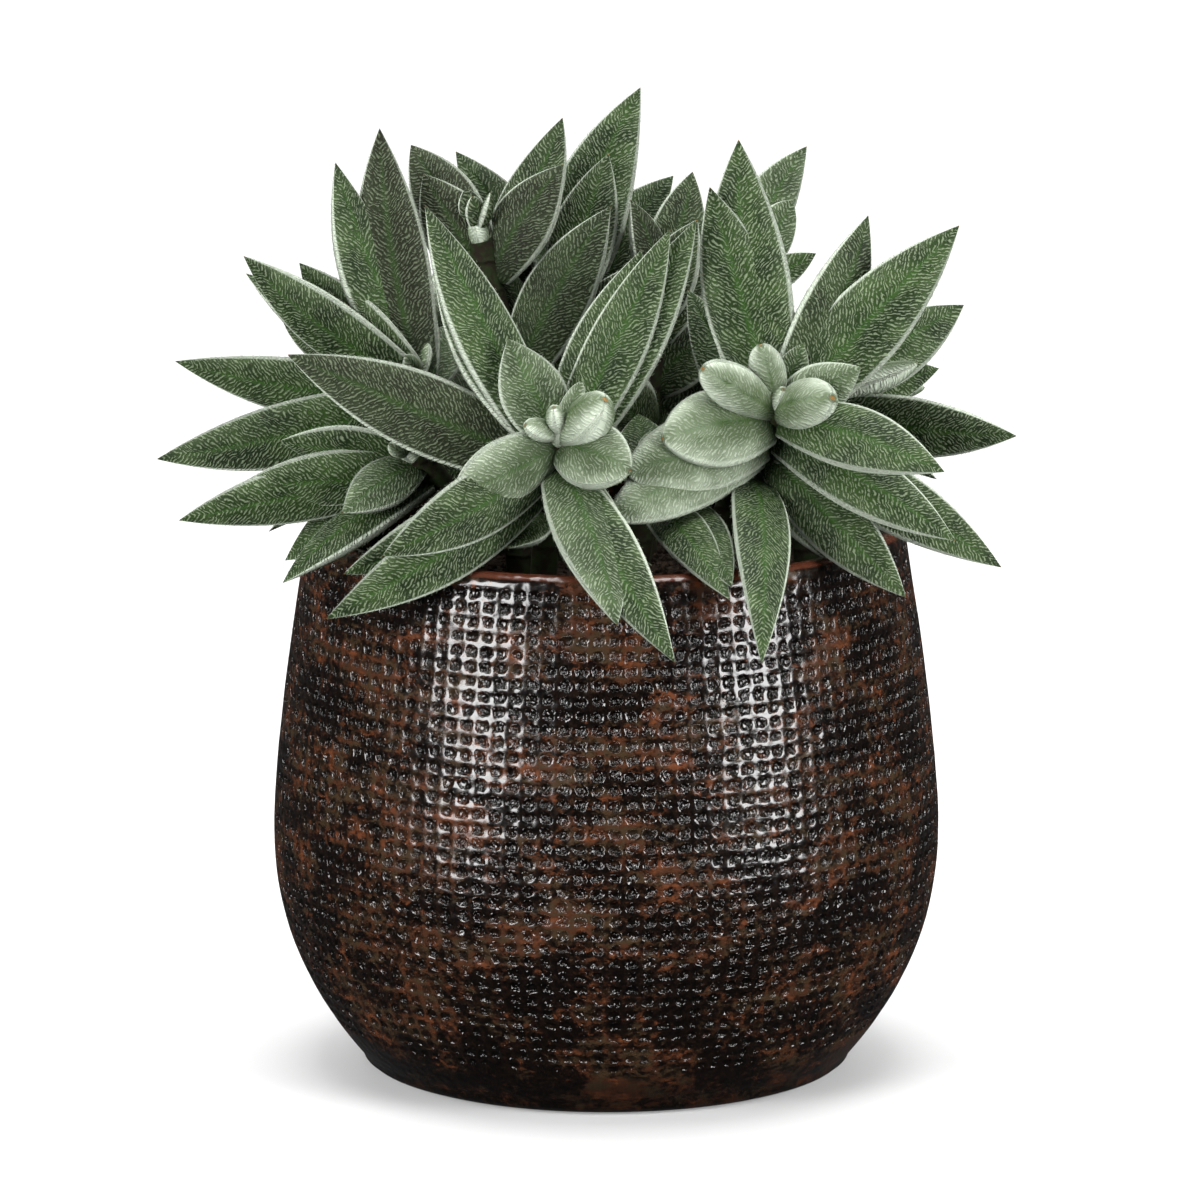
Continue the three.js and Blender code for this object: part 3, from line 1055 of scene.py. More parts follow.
@dataclass
class Soil:
    """The potting soil, in millimetres: a rough surface with crumbs lying on it."""

    form: PotForm
    edge_height: float = 103.0
    top_height: float = 104.5
    gap: float = 0.6
    lift: float = 0.3
    flat_share: float = 0.6
    wall_steps: int = 6
    rings: int = 40
    sides: int = 120
    roughness: float = 1.1
    lump_scale: float = 150.0
    crumbs_per_area: float = 0.16
    crumb_radius: float = 1.1
    crumb_sizes: tuple[float, float] = (0.45, 1.5)
    crumb_widths: tuple[float, float] = (0.5, 1.0)
    crumb_height: float = 0.7
    full_turn: float = 6.2
    seed: int = 5

    def profile(self) -> list[Vector]:
        """The filling's line from the middle of its underside to the middle of its top.

        Returns:
            The points, in metres, in the XZ plane.
        """
        form = self.form
        bottom = form.floor + self.lift
        line = [Vector((0, 0, bottom))]
        for i in range(self.wall_steps + 1):
            z = bottom + (self.edge_height - bottom) * i / self.wall_steps
            line.append(Vector((form.inside(z) - self.gap, 0, z)))
        edge = line[-1].x
        for i in range(1, self.rings + 1):
            share = 1 - i / self.rings
            rise = min(1.0, (1 - share) / (1 - self.flat_share))
            z = self.edge_height + (self.top_height - self.edge_height) * rise
            line.append(Vector((edge * share, 0, z)))
        return [point * MM for point in line]

    def build(self) -> bpy.types.Object:
        """Makes the soil in place of its CAD node.

        Returns:
            The finished piece.
        """
        maker = Maker(
            "filled_soil",
            {
                "Around": self.sides,
                "Roughness": self.roughness * MM,
                "Crumbs per Area": self.crumbs_per_area / MM ** 2,
                "Crumb Radius": self.crumb_radius * MM,
                "Peat": SoilFinish().material(),
            },
        )
        top = (self.edge_height - 1) * MM
        sheet, _, way, radius, height = maker.turned_sheet()
        flat = way * radius + maker.combine(0.0, 0.0, height)
        lumps = (maker.noise(flat, self.lump_scale, 4.0, 0.6) - 0.5) * 2
        bumps = lumps * maker.input("Roughness") * (height > top)
        sheet = maker.settle(sheet, flat + maker.combine(0.0, 0.0, bumps))
        picked = maker.place().parts()[2] > top
        density = maker.input("Crumbs per Area")
        inputs = {0: sheet, 1: picked, "Density": density, "Seed": self.seed}
        dots = maker.value("GeometryNodeDistributePointsOnFaces", inputs=inputs)
        crumb = maker.step(
            "GeometryNodeMeshIcoSphere", Radius=maker.input("Crumb Radius"), Subdivisions=1
        )
        turns = [maker.random(0, self.full_turn, seed) for seed in (1, 2)]
        spin = maker.value("FunctionNodeEulerToRotation", inputs={0: maker.combine(*turns, 0.0)})
        size = maker.random(*self.crumb_sizes, 3)
        wide = size * maker.random(*self.crumb_widths, 4)
        sizes = maker.combine(size, wide, size * self.crumb_height)
        crumbs = maker.step(
            "GeometryNodeInstanceOnPoints", Points=dots, Instance=crumb, Rotation=spin, Scale=sizes
        )
        maker.finish(maker.join(crumbs, sheet), {"Peat": None})
        return maker.make("potting_soil", base_mesh("soil_profile", self.profile()))


# Leafy shoots


@dataclass(frozen=True)
class LeafForm:
    """How a leaf's outline swells and closes, and how far its faces stand off, per width."""

    base: float
    widest: float
    tip: float
    upper: float
    keel: float


class Age(Enum):
    """The three forms of leaf, from the heart of a shoot outwards."""

    BUD = LeafForm(0.45, 0.56, 0.46, 0.4, 0.42)
    YOUNG = LeafForm(0.5, 0.52, 0.66, 0.16, 0.34)
    FULL = LeafForm(0.5, 0.47, 1.0, 0.1, 0.3)


BUD, YOUNG, FULL = Age.BUD, Age.YOUNG, Age.FULL


@dataclass(frozen=True)
class Leaf:
    """One leaf of the table, in millimetres and degrees.

    Its root is below the crown along the stem; turn is about +Z from +X, rise is above the
    horizon, bow lifts its middle, twist turns it about its own line and sway bends it sideways.
    Its tone is added to the one that its age gives it, from pale at -1 to brownish at 1.
    """

    age: Age
    below: float
    turn: float
    rise: float
    length: float
    width: float
    bow: float = 0.0
    twist: float = 0.0
    sway: float = 0.0
    tone: float = 0.0


TONE_OF_AGE = {BUD: -1.0, YOUNG: -0.55, FULL: 0.0}
HEART = (BUD, YOUNG, YOUNG)


@dataclass(frozen=True)
class Rosette:
    """Crossed pairs of leaves that follow a rule from the heart outwards.

    Lengths are in millimetres and turns and spreads in degrees. Only the first pairs that are
    shown are made, and past the free pairs no leaf points in towards the middle of the pot.
    """

    pairs: int
    turn: float
    longest: float
    shown: int = 99
    pair_turn: float = 97.0
    pair_step: float = 3.4
    first_pair: float = 2.0
    spread: Triple = (22.0, 98.0, 0.8)
    shortest: float = 11.0
    length_power: float = 0.7
    width: Triple = (6.5, 14.0, 0.6)
    droop: float = 0.12
    steepest: float = -0.4
    free_pairs: int = 3
    inward: float = -0.25
    outer_spread: float = 74.0
    outer_bow: float = 1.5
    straight_pairs: int = 2
    heart_tone: float = 0.5


@dataclass(frozen=True)
class PlacedLeaf:
    """A leaf with its place worked out, in millimetres."""

    age: Age
    root: Vector
    chord: Vector
    up: Vector
    width: float
    bow: float
    sway: float
    tone: float


def between(limits: Triple, share: float) -> float:
    """A value between two limits, where the third number is the power that shapes the way."""
    low, high, power = limits
    return low + (high - low) * share ** power


@dataclass
class StemLine:
    """A stem's line: straight up out of the soil, then bent over to look the way its crown does.

    The handle is the share of its reach over which each end keeps its own way.
    """

    foot: tuple[float, float]
    crown: Triple
    look: Triple
    soil_height: float = 104.5
    handle: float = 0.4
    pieces: int = 200

    def __post_init__(self) -> None:
        """Walks the line once, so that places on it can be asked for by their distance."""
        start, end = Vector((*self.foot, self.soil_height)), Vector(self.crown)
        reach = (end - start).length * self.handle
        before_end = end - Vector(self.look).normalized() * reach
        corners = (start, start + Vector((0, 0, reach)), before_end, end)
        self.points = [self._bezier(corners, i / self.pieces) for i in range(self.pieces + 1)]
        self.run = [0.0]
        for a, b in zip(self.points, self.points[1:]):
            self.run.append(self.run[-1] + (b - a).length)

    @staticmethod
    def _bezier(corners: tuple[Vector, ...], share: float) -> Vector:
        """A point of the curve with four corners.

        Args:
            corners: The corners, of which the curve starts at the first and ends at the last.
            share: How far along the curve the point is, from 0 to 1.

        Returns:
            The point.
        """
        a, b, c, d = corners
        left = 1 - share
        return a * left ** 3 + b * (3 * left ** 2 * share) + c * (3 * left * share ** 2) + d * share ** 3

    def below_crown(self, distance: float) -> tuple[Vector, Vector]:
        """The point at a distance below the crown, and the way that the stem runs there.

        Args:
            distance: How far below the crown, along the stem.

        Returns:
            The point and the unit vector.
        """
        target = self.run[-1] - distance
        i = next((k for k in range(1, self.pieces) if self.run[k] >= target), self.pieces)
        share = (target - self.run[i - 1]) / (self.run[i] - self.run[i - 1])
        before, after = self.points[i - 1], self.points[i]
        return before.lerp(after, share), (after - before).normalized()


@dataclass
class StemForm:
    """What all the stems and leaves share: sizes in millimetres, counts and powers."""

    radius: float = 2.8
    depth: float = 13.7
    stop: float = 3.0
    line_points: int = 16
    stem_sides: int = 14
    leaf_sides: int = 16
    leaf_rings: int = 24
    ring_power: float = 1.4
    outline_power: float = 1.9
    fullness: float = 1.15
    ripple: float = 0.22
    root_step: float = 0.02
    root_cover: float = 1.0
    tip_below: float = 6.0
    tip_length: float = 8.0
    tip_width: float = 5.0
    tip_tone: float = -0.6


@dataclass
class Shoot:
    """One leafy shoot: where its stem stands and looks, and its leaves."""

    name: str
    foot: tuple[float, float]
    crown: Triple
    look: Triple
    leaves: tuple[Leaf, ...] = ()
    rosette: Optional[Rosette] = None
    tone: float = 0.0

    def placed(self, line: StemLine, form: StemForm) -> list[PlacedLeaf]:
        """Works out where every leaf of the shoot is.

        Args:
            line: The stem's line.
            form: The shared sizes.

        Returns:
            The leaves, the growing tip among them.
        """
        root, along = line.below_crown(form.tip_below)
        chord = along * form.tip_length
        sideways = Vector((1, 0, 0))
        found = [self._place(BUD, root, sideways, chord, form.tip_width, tone=form.tip_tone)]
        for leaf in self.leaves:
            root, axis = line.below_crown(leaf.below)
            turn, rise = math.radians(leaf.turn), math.radians(leaf.rise)
            level = math.cos(rise)
            chord = Vector((level * math.cos(turn), level * math.sin(turn), math.sin(rise)))
            bends = (leaf.bow, leaf.twist, leaf.sway, leaf.tone + self.tone)
            found.append(self._place(leaf.age, root, axis, chord * leaf.length, leaf.width, *bends))
        if self.rosette:
            found += self._pairs(line, self.rosette)
        return found

    @staticmethod
    def _place(
        age: Age,
        root: Vector,
        axis: Vector,
        chord: Vector,
        width: float,
        bow: float = 0.0,
        twist: float = 0.0,
        sway: float = 0.0,
        tone: float = 0.0,
    ) -> PlacedLeaf:
        """Works out which way a leaf faces.

        Args:
            age: The leaf's form.
            root: Where it starts.
            axis: The way that the stem runs there.
            chord: The straight line from its root to its tip.
            width: How wide it is.
            bow: How far its middle is lifted.
            twist: How far it is turned about its own line, in degrees.
            sway: How far its middle is bent sideways.
            tone: What is added to its tone.

        Returns:
            The placed leaf.
        """
        along = chord.normalized()
        up = (axis - along * axis.dot(along)).normalized()
        up = Matrix.Rotation(math.radians(twist), 3, along) @ up
        return PlacedLeaf(age, root, chord, up, width, bow, sway, tone)

    def _pairs(self, line: StemLine, rule: Rosette) -> list[PlacedLeaf]:
        """Works out the leaves of a rosette, pair by pair from the heart outwards.

        Args:
            line: The stem's line.
            rule: The rosette.

        Returns:
            The placed leaves.
        """
        found = []
        outward = Vector((self.crown[0], self.crown[1])).normalized()
        for k in range(min(rule.pairs, rule.shown)):
            share = k / (rule.pairs - 1)
            root, axis = line.below_crown(rule.first_pair + rule.pair_step * k)
            first = Vector((axis.y, -axis.x, 0)).normalized()
            second = axis.cross(first)
            spread = math.radians(between(rule.spread, share))
            length = between((rule.shortest, rule.longest, rule.length_power), share)
            age = HEART[k] if k < len(HEART) else FULL
            wide = math.degrees(spread) > rule.outer_spread
            bow = 0.0 if k < rule.straight_pairs else rule.outer_bow * (share + wide)
            for side in (0, 180):
                angle = math.radians(rule.turn + rule.pair_turn * k + side)
                across = first * math.cos(angle) + second * math.sin(angle)
                chord = axis * math.cos(spread) + across * math.sin(spread)
                chord.z = max(chord.z - rule.droop * share, rule.steepest)
                chord.normalize()
                if k >= rule.free_pairs and chord.xy.dot(outward) < rule.inward:
                    continue
                width = between(rule.width, share)
                tone = self.tone - rule.heart_tone * (1 - share)
                found.append(self._place(age, root, axis, chord * length, width, bow, tone=tone))
        return found


@dataclass
class LeafyShoots:
    """Turns the shoots' table into meshes: a stem with its leaves, and a coat of short hairs.

    The hairs are counted per square millimetre of leaf, and their lengths are in millimetres. Each
    one's tilt and turn in radians and its size are drawn between two limits.
    """

    form: StemForm
    leaf: bpy.types.Material
    stem: bpy.types.Material
    hair: bpy.types.Material
    hairs_per_area: float = 0.62
    hair_length: float = 0.85
    hair_thickness: float = 0.032
    hair_bend: float = 0.22
    hair_tilts: tuple[float, float] = (-0.5, -0.06)
    hair_turns: tuple[float, float] = (-1.5, 1.5)
    hair_sizes: tuple[float, float] = (0.6, 1.25)
    numbers_per_shoot: int = 40
    ripple_scale: float = 110.0

    def build(self, shoot: Shoot, seed: int) -> bpy.types.Object:
        """Makes a shoot's stem and leaves in place of its CAD node.

        Args:
            shoot: The shoot.
            seed: Its place in the table, which its leaves are numbered from.

        Returns:
            The finished piece.
        """
        form = self.form
        line = StemLine(shoot.foot, shoot.crown, shoot.look)
        leaves = shoot.placed(line, form)
        stem = self._stem_points(line)
        points = stem + [leaf.root * MM for leaf in leaves]
        edges = [(i, i + 1) for i in range(len(stem) - 1)]
        first = 1 + seed * self.numbers_per_shoot
        rows = {
            "is_leaf": [1.0 for _ in leaves],
            "leaf_width": [leaf.width * MM for leaf in leaves],
            "leaf_bow": [leaf.bow * MM for leaf in leaves],
            "leaf_sway": [leaf.sway * MM for leaf in leaves],
            "leaf_tone": [leaf.tone + TONE_OF_AGE[leaf.age] for leaf in leaves],
            "leaf_number": [float(first + i) for i in range(len(leaves))],
        }
        for part in ("base", "widest", "tip", "upper", "keel"):
            rows[f"leaf_{part}"] = [getattr(leaf.age.value, part) for leaf in leaves]
        ways = [leaf.chord.normalized() for leaf in leaves]
        nudge = form.root_step * MM
        vectors = {
            "leaf_root": [leaf.root * MM + ways[i] * nudge * i for i, leaf in enumerate(leaves)],
            "leaf_chord": [leaf.chord * MM for leaf in leaves],
            "leaf_up": [leaf.up for leaf in leaves],
            "leaf_side": [way.cross(leaf.up) for way, leaf in zip(ways, leaves)],
        }
        numbers = {name: [0.0] * len(stem) + row for name, row in rows.items()}
        arrows = {name: [Vector()] * len(stem) + row for name, row in vectors.items()}
        base = base_mesh(f"{shoot.name}_points", points, edges, numbers, arrows)
        return self._tree().make(shoot.name.replace("shoot", "leaves"), base)

    def _stem_points(self, line: StemLine) -> list[Vector]:
        """The points of a stem's middle line, from under the soil up.

        Args:
            line: The stem's line.

        Returns:
            The points, in metres.
        """
        form = self.form
        foot = line.points[0]
        points = [foot - Vector((0, 0, deep)) for deep in (form.depth, form.root_cover)]
        length = line.run[-1] - form.stop
        for i in range(1, form.line_points + 1):
            distance = line.run[-1] - length * i / form.line_points
            points.append(line.below_crown(distance)[0])
        return [point * MM for point in points]

    def _tree(self) -> Maker:
        """Makes the tree that grows a stem along its points and a leaf at each root.

        Returns:
            The tree.
        """
        form = self.form
        maker = Maker(
            "grown_shoot",
            {
                "Leaf Sides": form.leaf_sides,
                "Leaf Rings": form.leaf_rings,
                "Outline Power": form.outline_power,
                "Fullness": form.fullness,
                "Ripple": form.ripple * MM,
                "Stem Radius": form.radius * MM,
                "Stem Sides": form.stem_sides,
                "Leaf Skin": self.leaf,
                "Bark": self.stem,
            },
        )
        leafy = maker.named("is_leaf") > 0.5
        inputs = {"Geometry": maker.input("Geometry"), "Selection": leafy}
        parts = maker.node("GeometryNodeSeparateGeometry", {"domain": "POINT"}, inputs)
        roots, spine = (Value(maker, socket) for socket in parts.outputs)

        tube = self._tube(maker, maker.input("Leaf Sides"), maker.input("Leaf Rings"))
        tube = maker.store(tube, "tube", maker.place())
        grown = maker.step("GeometryNodeInstanceOnPoints", Points=roots, Instance=tube)
        grown = maker.step("GeometryNodeRealizeInstances", Geometry=grown)
        grown = self._shape(maker, grown)

        track = maker.step("GeometryNodeMeshToCurve", Mesh=spine)
        ring = maker.step(
            "GeometryNodeCurvePrimitiveCircle",
            Resolution=maker.input("Stem Sides"),
            Radius=maker.input("Stem Radius"),
        )
        stem = maker.step(
            "GeometryNodeCurveToMesh", Curve=track, Profile_Curve=ring, Fill_Caps=True
        )
        maker.finish(maker.join(stem, grown), {"Bark": None, "Leaf Skin": leafy})
        return maker

    @staticmethod
    def _tube(maker: Maker, sides: Value | int, segments: Value | int) -> Value:
        """An open upright tube of radius 1 and height 1, which leaves and hairs are drawn from."""
        size = {"Vertices": sides, "Side_Segments": segments, "Radius": 1.0, "Depth": 1.0}
        return maker.step("GeometryNodeMeshCylinder", {"fill_type": "NONE"}, **size)

    def _shape(self, maker: Maker, tubes: Value) -> Value:
        """Draws unit tubes out into leaves.

        Args:
            maker: The tree.
            tubes: The tubes, one for each leaf, with the leaf's attributes.

        Returns:
            The leaves, with the attributes that their finish reads.
        """
        # The outline: a sine up to the widest place, and a power from there to the tip.
        across, face, height = maker.named_arrow("tube").parts()
        run = 1 - (1 - (height + 0.5)) ** self.form.ring_power
        widest = maker.named("leaf_widest")
        base = maker.named("leaf_base")
        swell = base + (1 - base) * maker.math("SINE", run / widest * (math.pi / 2))
        past = maker.math("MAXIMUM", (run - widest) / (1 - widest), 0.0)
        closing = maker.math("MAXIMUM", 1 - past ** maker.input("Outline Power"), 0.0)
        lower = run < widest
        outline = swell * lower + closing ** maker.named("leaf_tip") * (1 - lower)
        half = outline * (run > 0.001) * maker.named("leaf_width") * 0.5

        # The two faces: the upper one, which is flat on a full leaf, and the keeled lower one.
        above = face > 0.0
        stand = maker.named("leaf_upper") * above + maker.named("leaf_keel") * (1 - above)
        depth = face * stand * half * 2 * maker.input("Fullness")

        # The place: along the chord, bent up and aside, and rippled a little.
        side, up = maker.named_arrow("leaf_side"), maker.named_arrow("leaf_up")
        chord = maker.named_arrow("leaf_chord")
        arch = run * (1 - run) * 4
        point = maker.named_arrow("leaf_root") + chord * run
        point = point + up * (maker.named("leaf_bow") * arch + depth)
        point = point + side * (maker.named("leaf_sway") * arch + across * half)
        number = maker.named("leaf_number")
        apart = maker.combine(number, 0.0, 0.0)
        cloud = maker.noise(point + apart, self.ripple_scale, 2.0) - 0.5
        point = point + up * (cloud * 2 * maker.input("Ripple") * arch)

        # Each leaf and each of its faces reads a layer of its own of the skin's pattern.
        place = maker.combine(run * chord.length(), across * half, number * 0.05 + above * 0.02)
        leaves = tubes
        for name, given in (("run", run), ("across", across), ("place", place)):
            leaves = maker.store(leaves, f"leaf_{name}", given)
        return maker.settle(leaves, point, flip=True)

    def coat(self, shoot: Shoot, leaves: bpy.types.Object, seed: int) -> bpy.types.Object:
        """Makes the short bent hairs that lie on a shoot's leaves.

        Args:
            shoot: The shoot.
            leaves: Its finished leaves.
            seed: What the hairs' places and turns are drawn with.

        Returns:
            The finished piece.
        """
        maker = Maker(
            "felt_coat",
            {
                "Hairs per Area": self.hairs_per_area / MM ** 2,
                "Hair Length": self.hair_length * MM,
                "Hair Thickness": self.hair_thickness * MM,
                "Hair Bend": self.hair_bend * MM,
                "Silver": self.hair,
            },
        )
        # The hairs stand thick on the margin and thin on the midline, and the root has none.
        run = maker.named("leaf_run")
        across = abs(maker.named("leaf_across"))
        rim = across.eased(0.8, 0.97)
        middle = across.bell(0.12) * 0.6
        share = run.eased(0.06, 0.3) * (0.3 - middle * 0.3 + rim * 1.8)
        density = share * maker.input("Hairs per Area")
        inputs = {0: maker.input("Geometry"), "Density": density, "Seed": seed}
        dots = maker.node("GeometryNodeDistributePointsOnFaces", inputs=inputs)
        size = maker.random(*self.hair_sizes, seed + 3)
        coat = maker.step(
            "GeometryNodeInstanceOnPoints",
            Points=Value(maker, dots.outputs["Points"]),
            Instance=self._hair(maker),
            Rotation=self._lie(maker, Arrow(maker, dots.outputs["Normal"]), seed),
            Scale=maker.combine(size, size, size),
        )
        maker.finish(coat, {"Silver": None})
        return maker.make(shoot.name.replace("shoot", "hairs"), leaves.data)

    def _lie(self, maker: Maker, normal: Arrow, seed: int) -> Value:
        """Lays each hair down along its leaf, a little tilted and turned aside.

        Args:
            maker: The tree.
            normal: The way that the skin faces.
            seed: What the tilts and turns are drawn with.

        Returns:
            The hairs' rotations.
        """
        align = "FunctionNodeAlignRotationToVector"
        upright = maker.value(align, {"axis": "Z"}, {"Vector": normal})
        inputs = {"Rotation": upright, "Vector": maker.named_arrow("leaf_chord")}
        aimed = maker.value(align, {"axis": "X", "pivot_axis": "Z"}, inputs)
        tilt = maker.random(*self.hair_tilts, seed + 1)
        angles = maker.combine(0.0, tilt, maker.random(*self.hair_turns, seed + 2))
        lean = maker.value("FunctionNodeEulerToRotation", inputs={0: angles})
        inputs = {0: aimed, 1: lean}
        return maker.value("FunctionNodeRotateRotation", {"rotation_space": "LOCAL"}, inputs)

    def _hair(self, maker: Maker) -> Value:
        """Makes one hair: a closed bent sliver of six faces that starts at its own root.

        Args:
            maker: The tree.

        Returns:
            The hair.
        """
        sliver = self._tube(maker, 3, 2)
        x, y, height = maker.place().parts()
        arch = 1 - (height * 2) ** 2
        thick = arch * maker.input("Hair Thickness")
        point = maker.combine(
            (height + 0.5) * maker.input("Hair Length"),
            y * thick + arch * maker.input("Hair Bend"),
            x * thick + arch * maker.input("Hair Thickness"),
        )
        return maker.settle(sliver, point, flip=True)


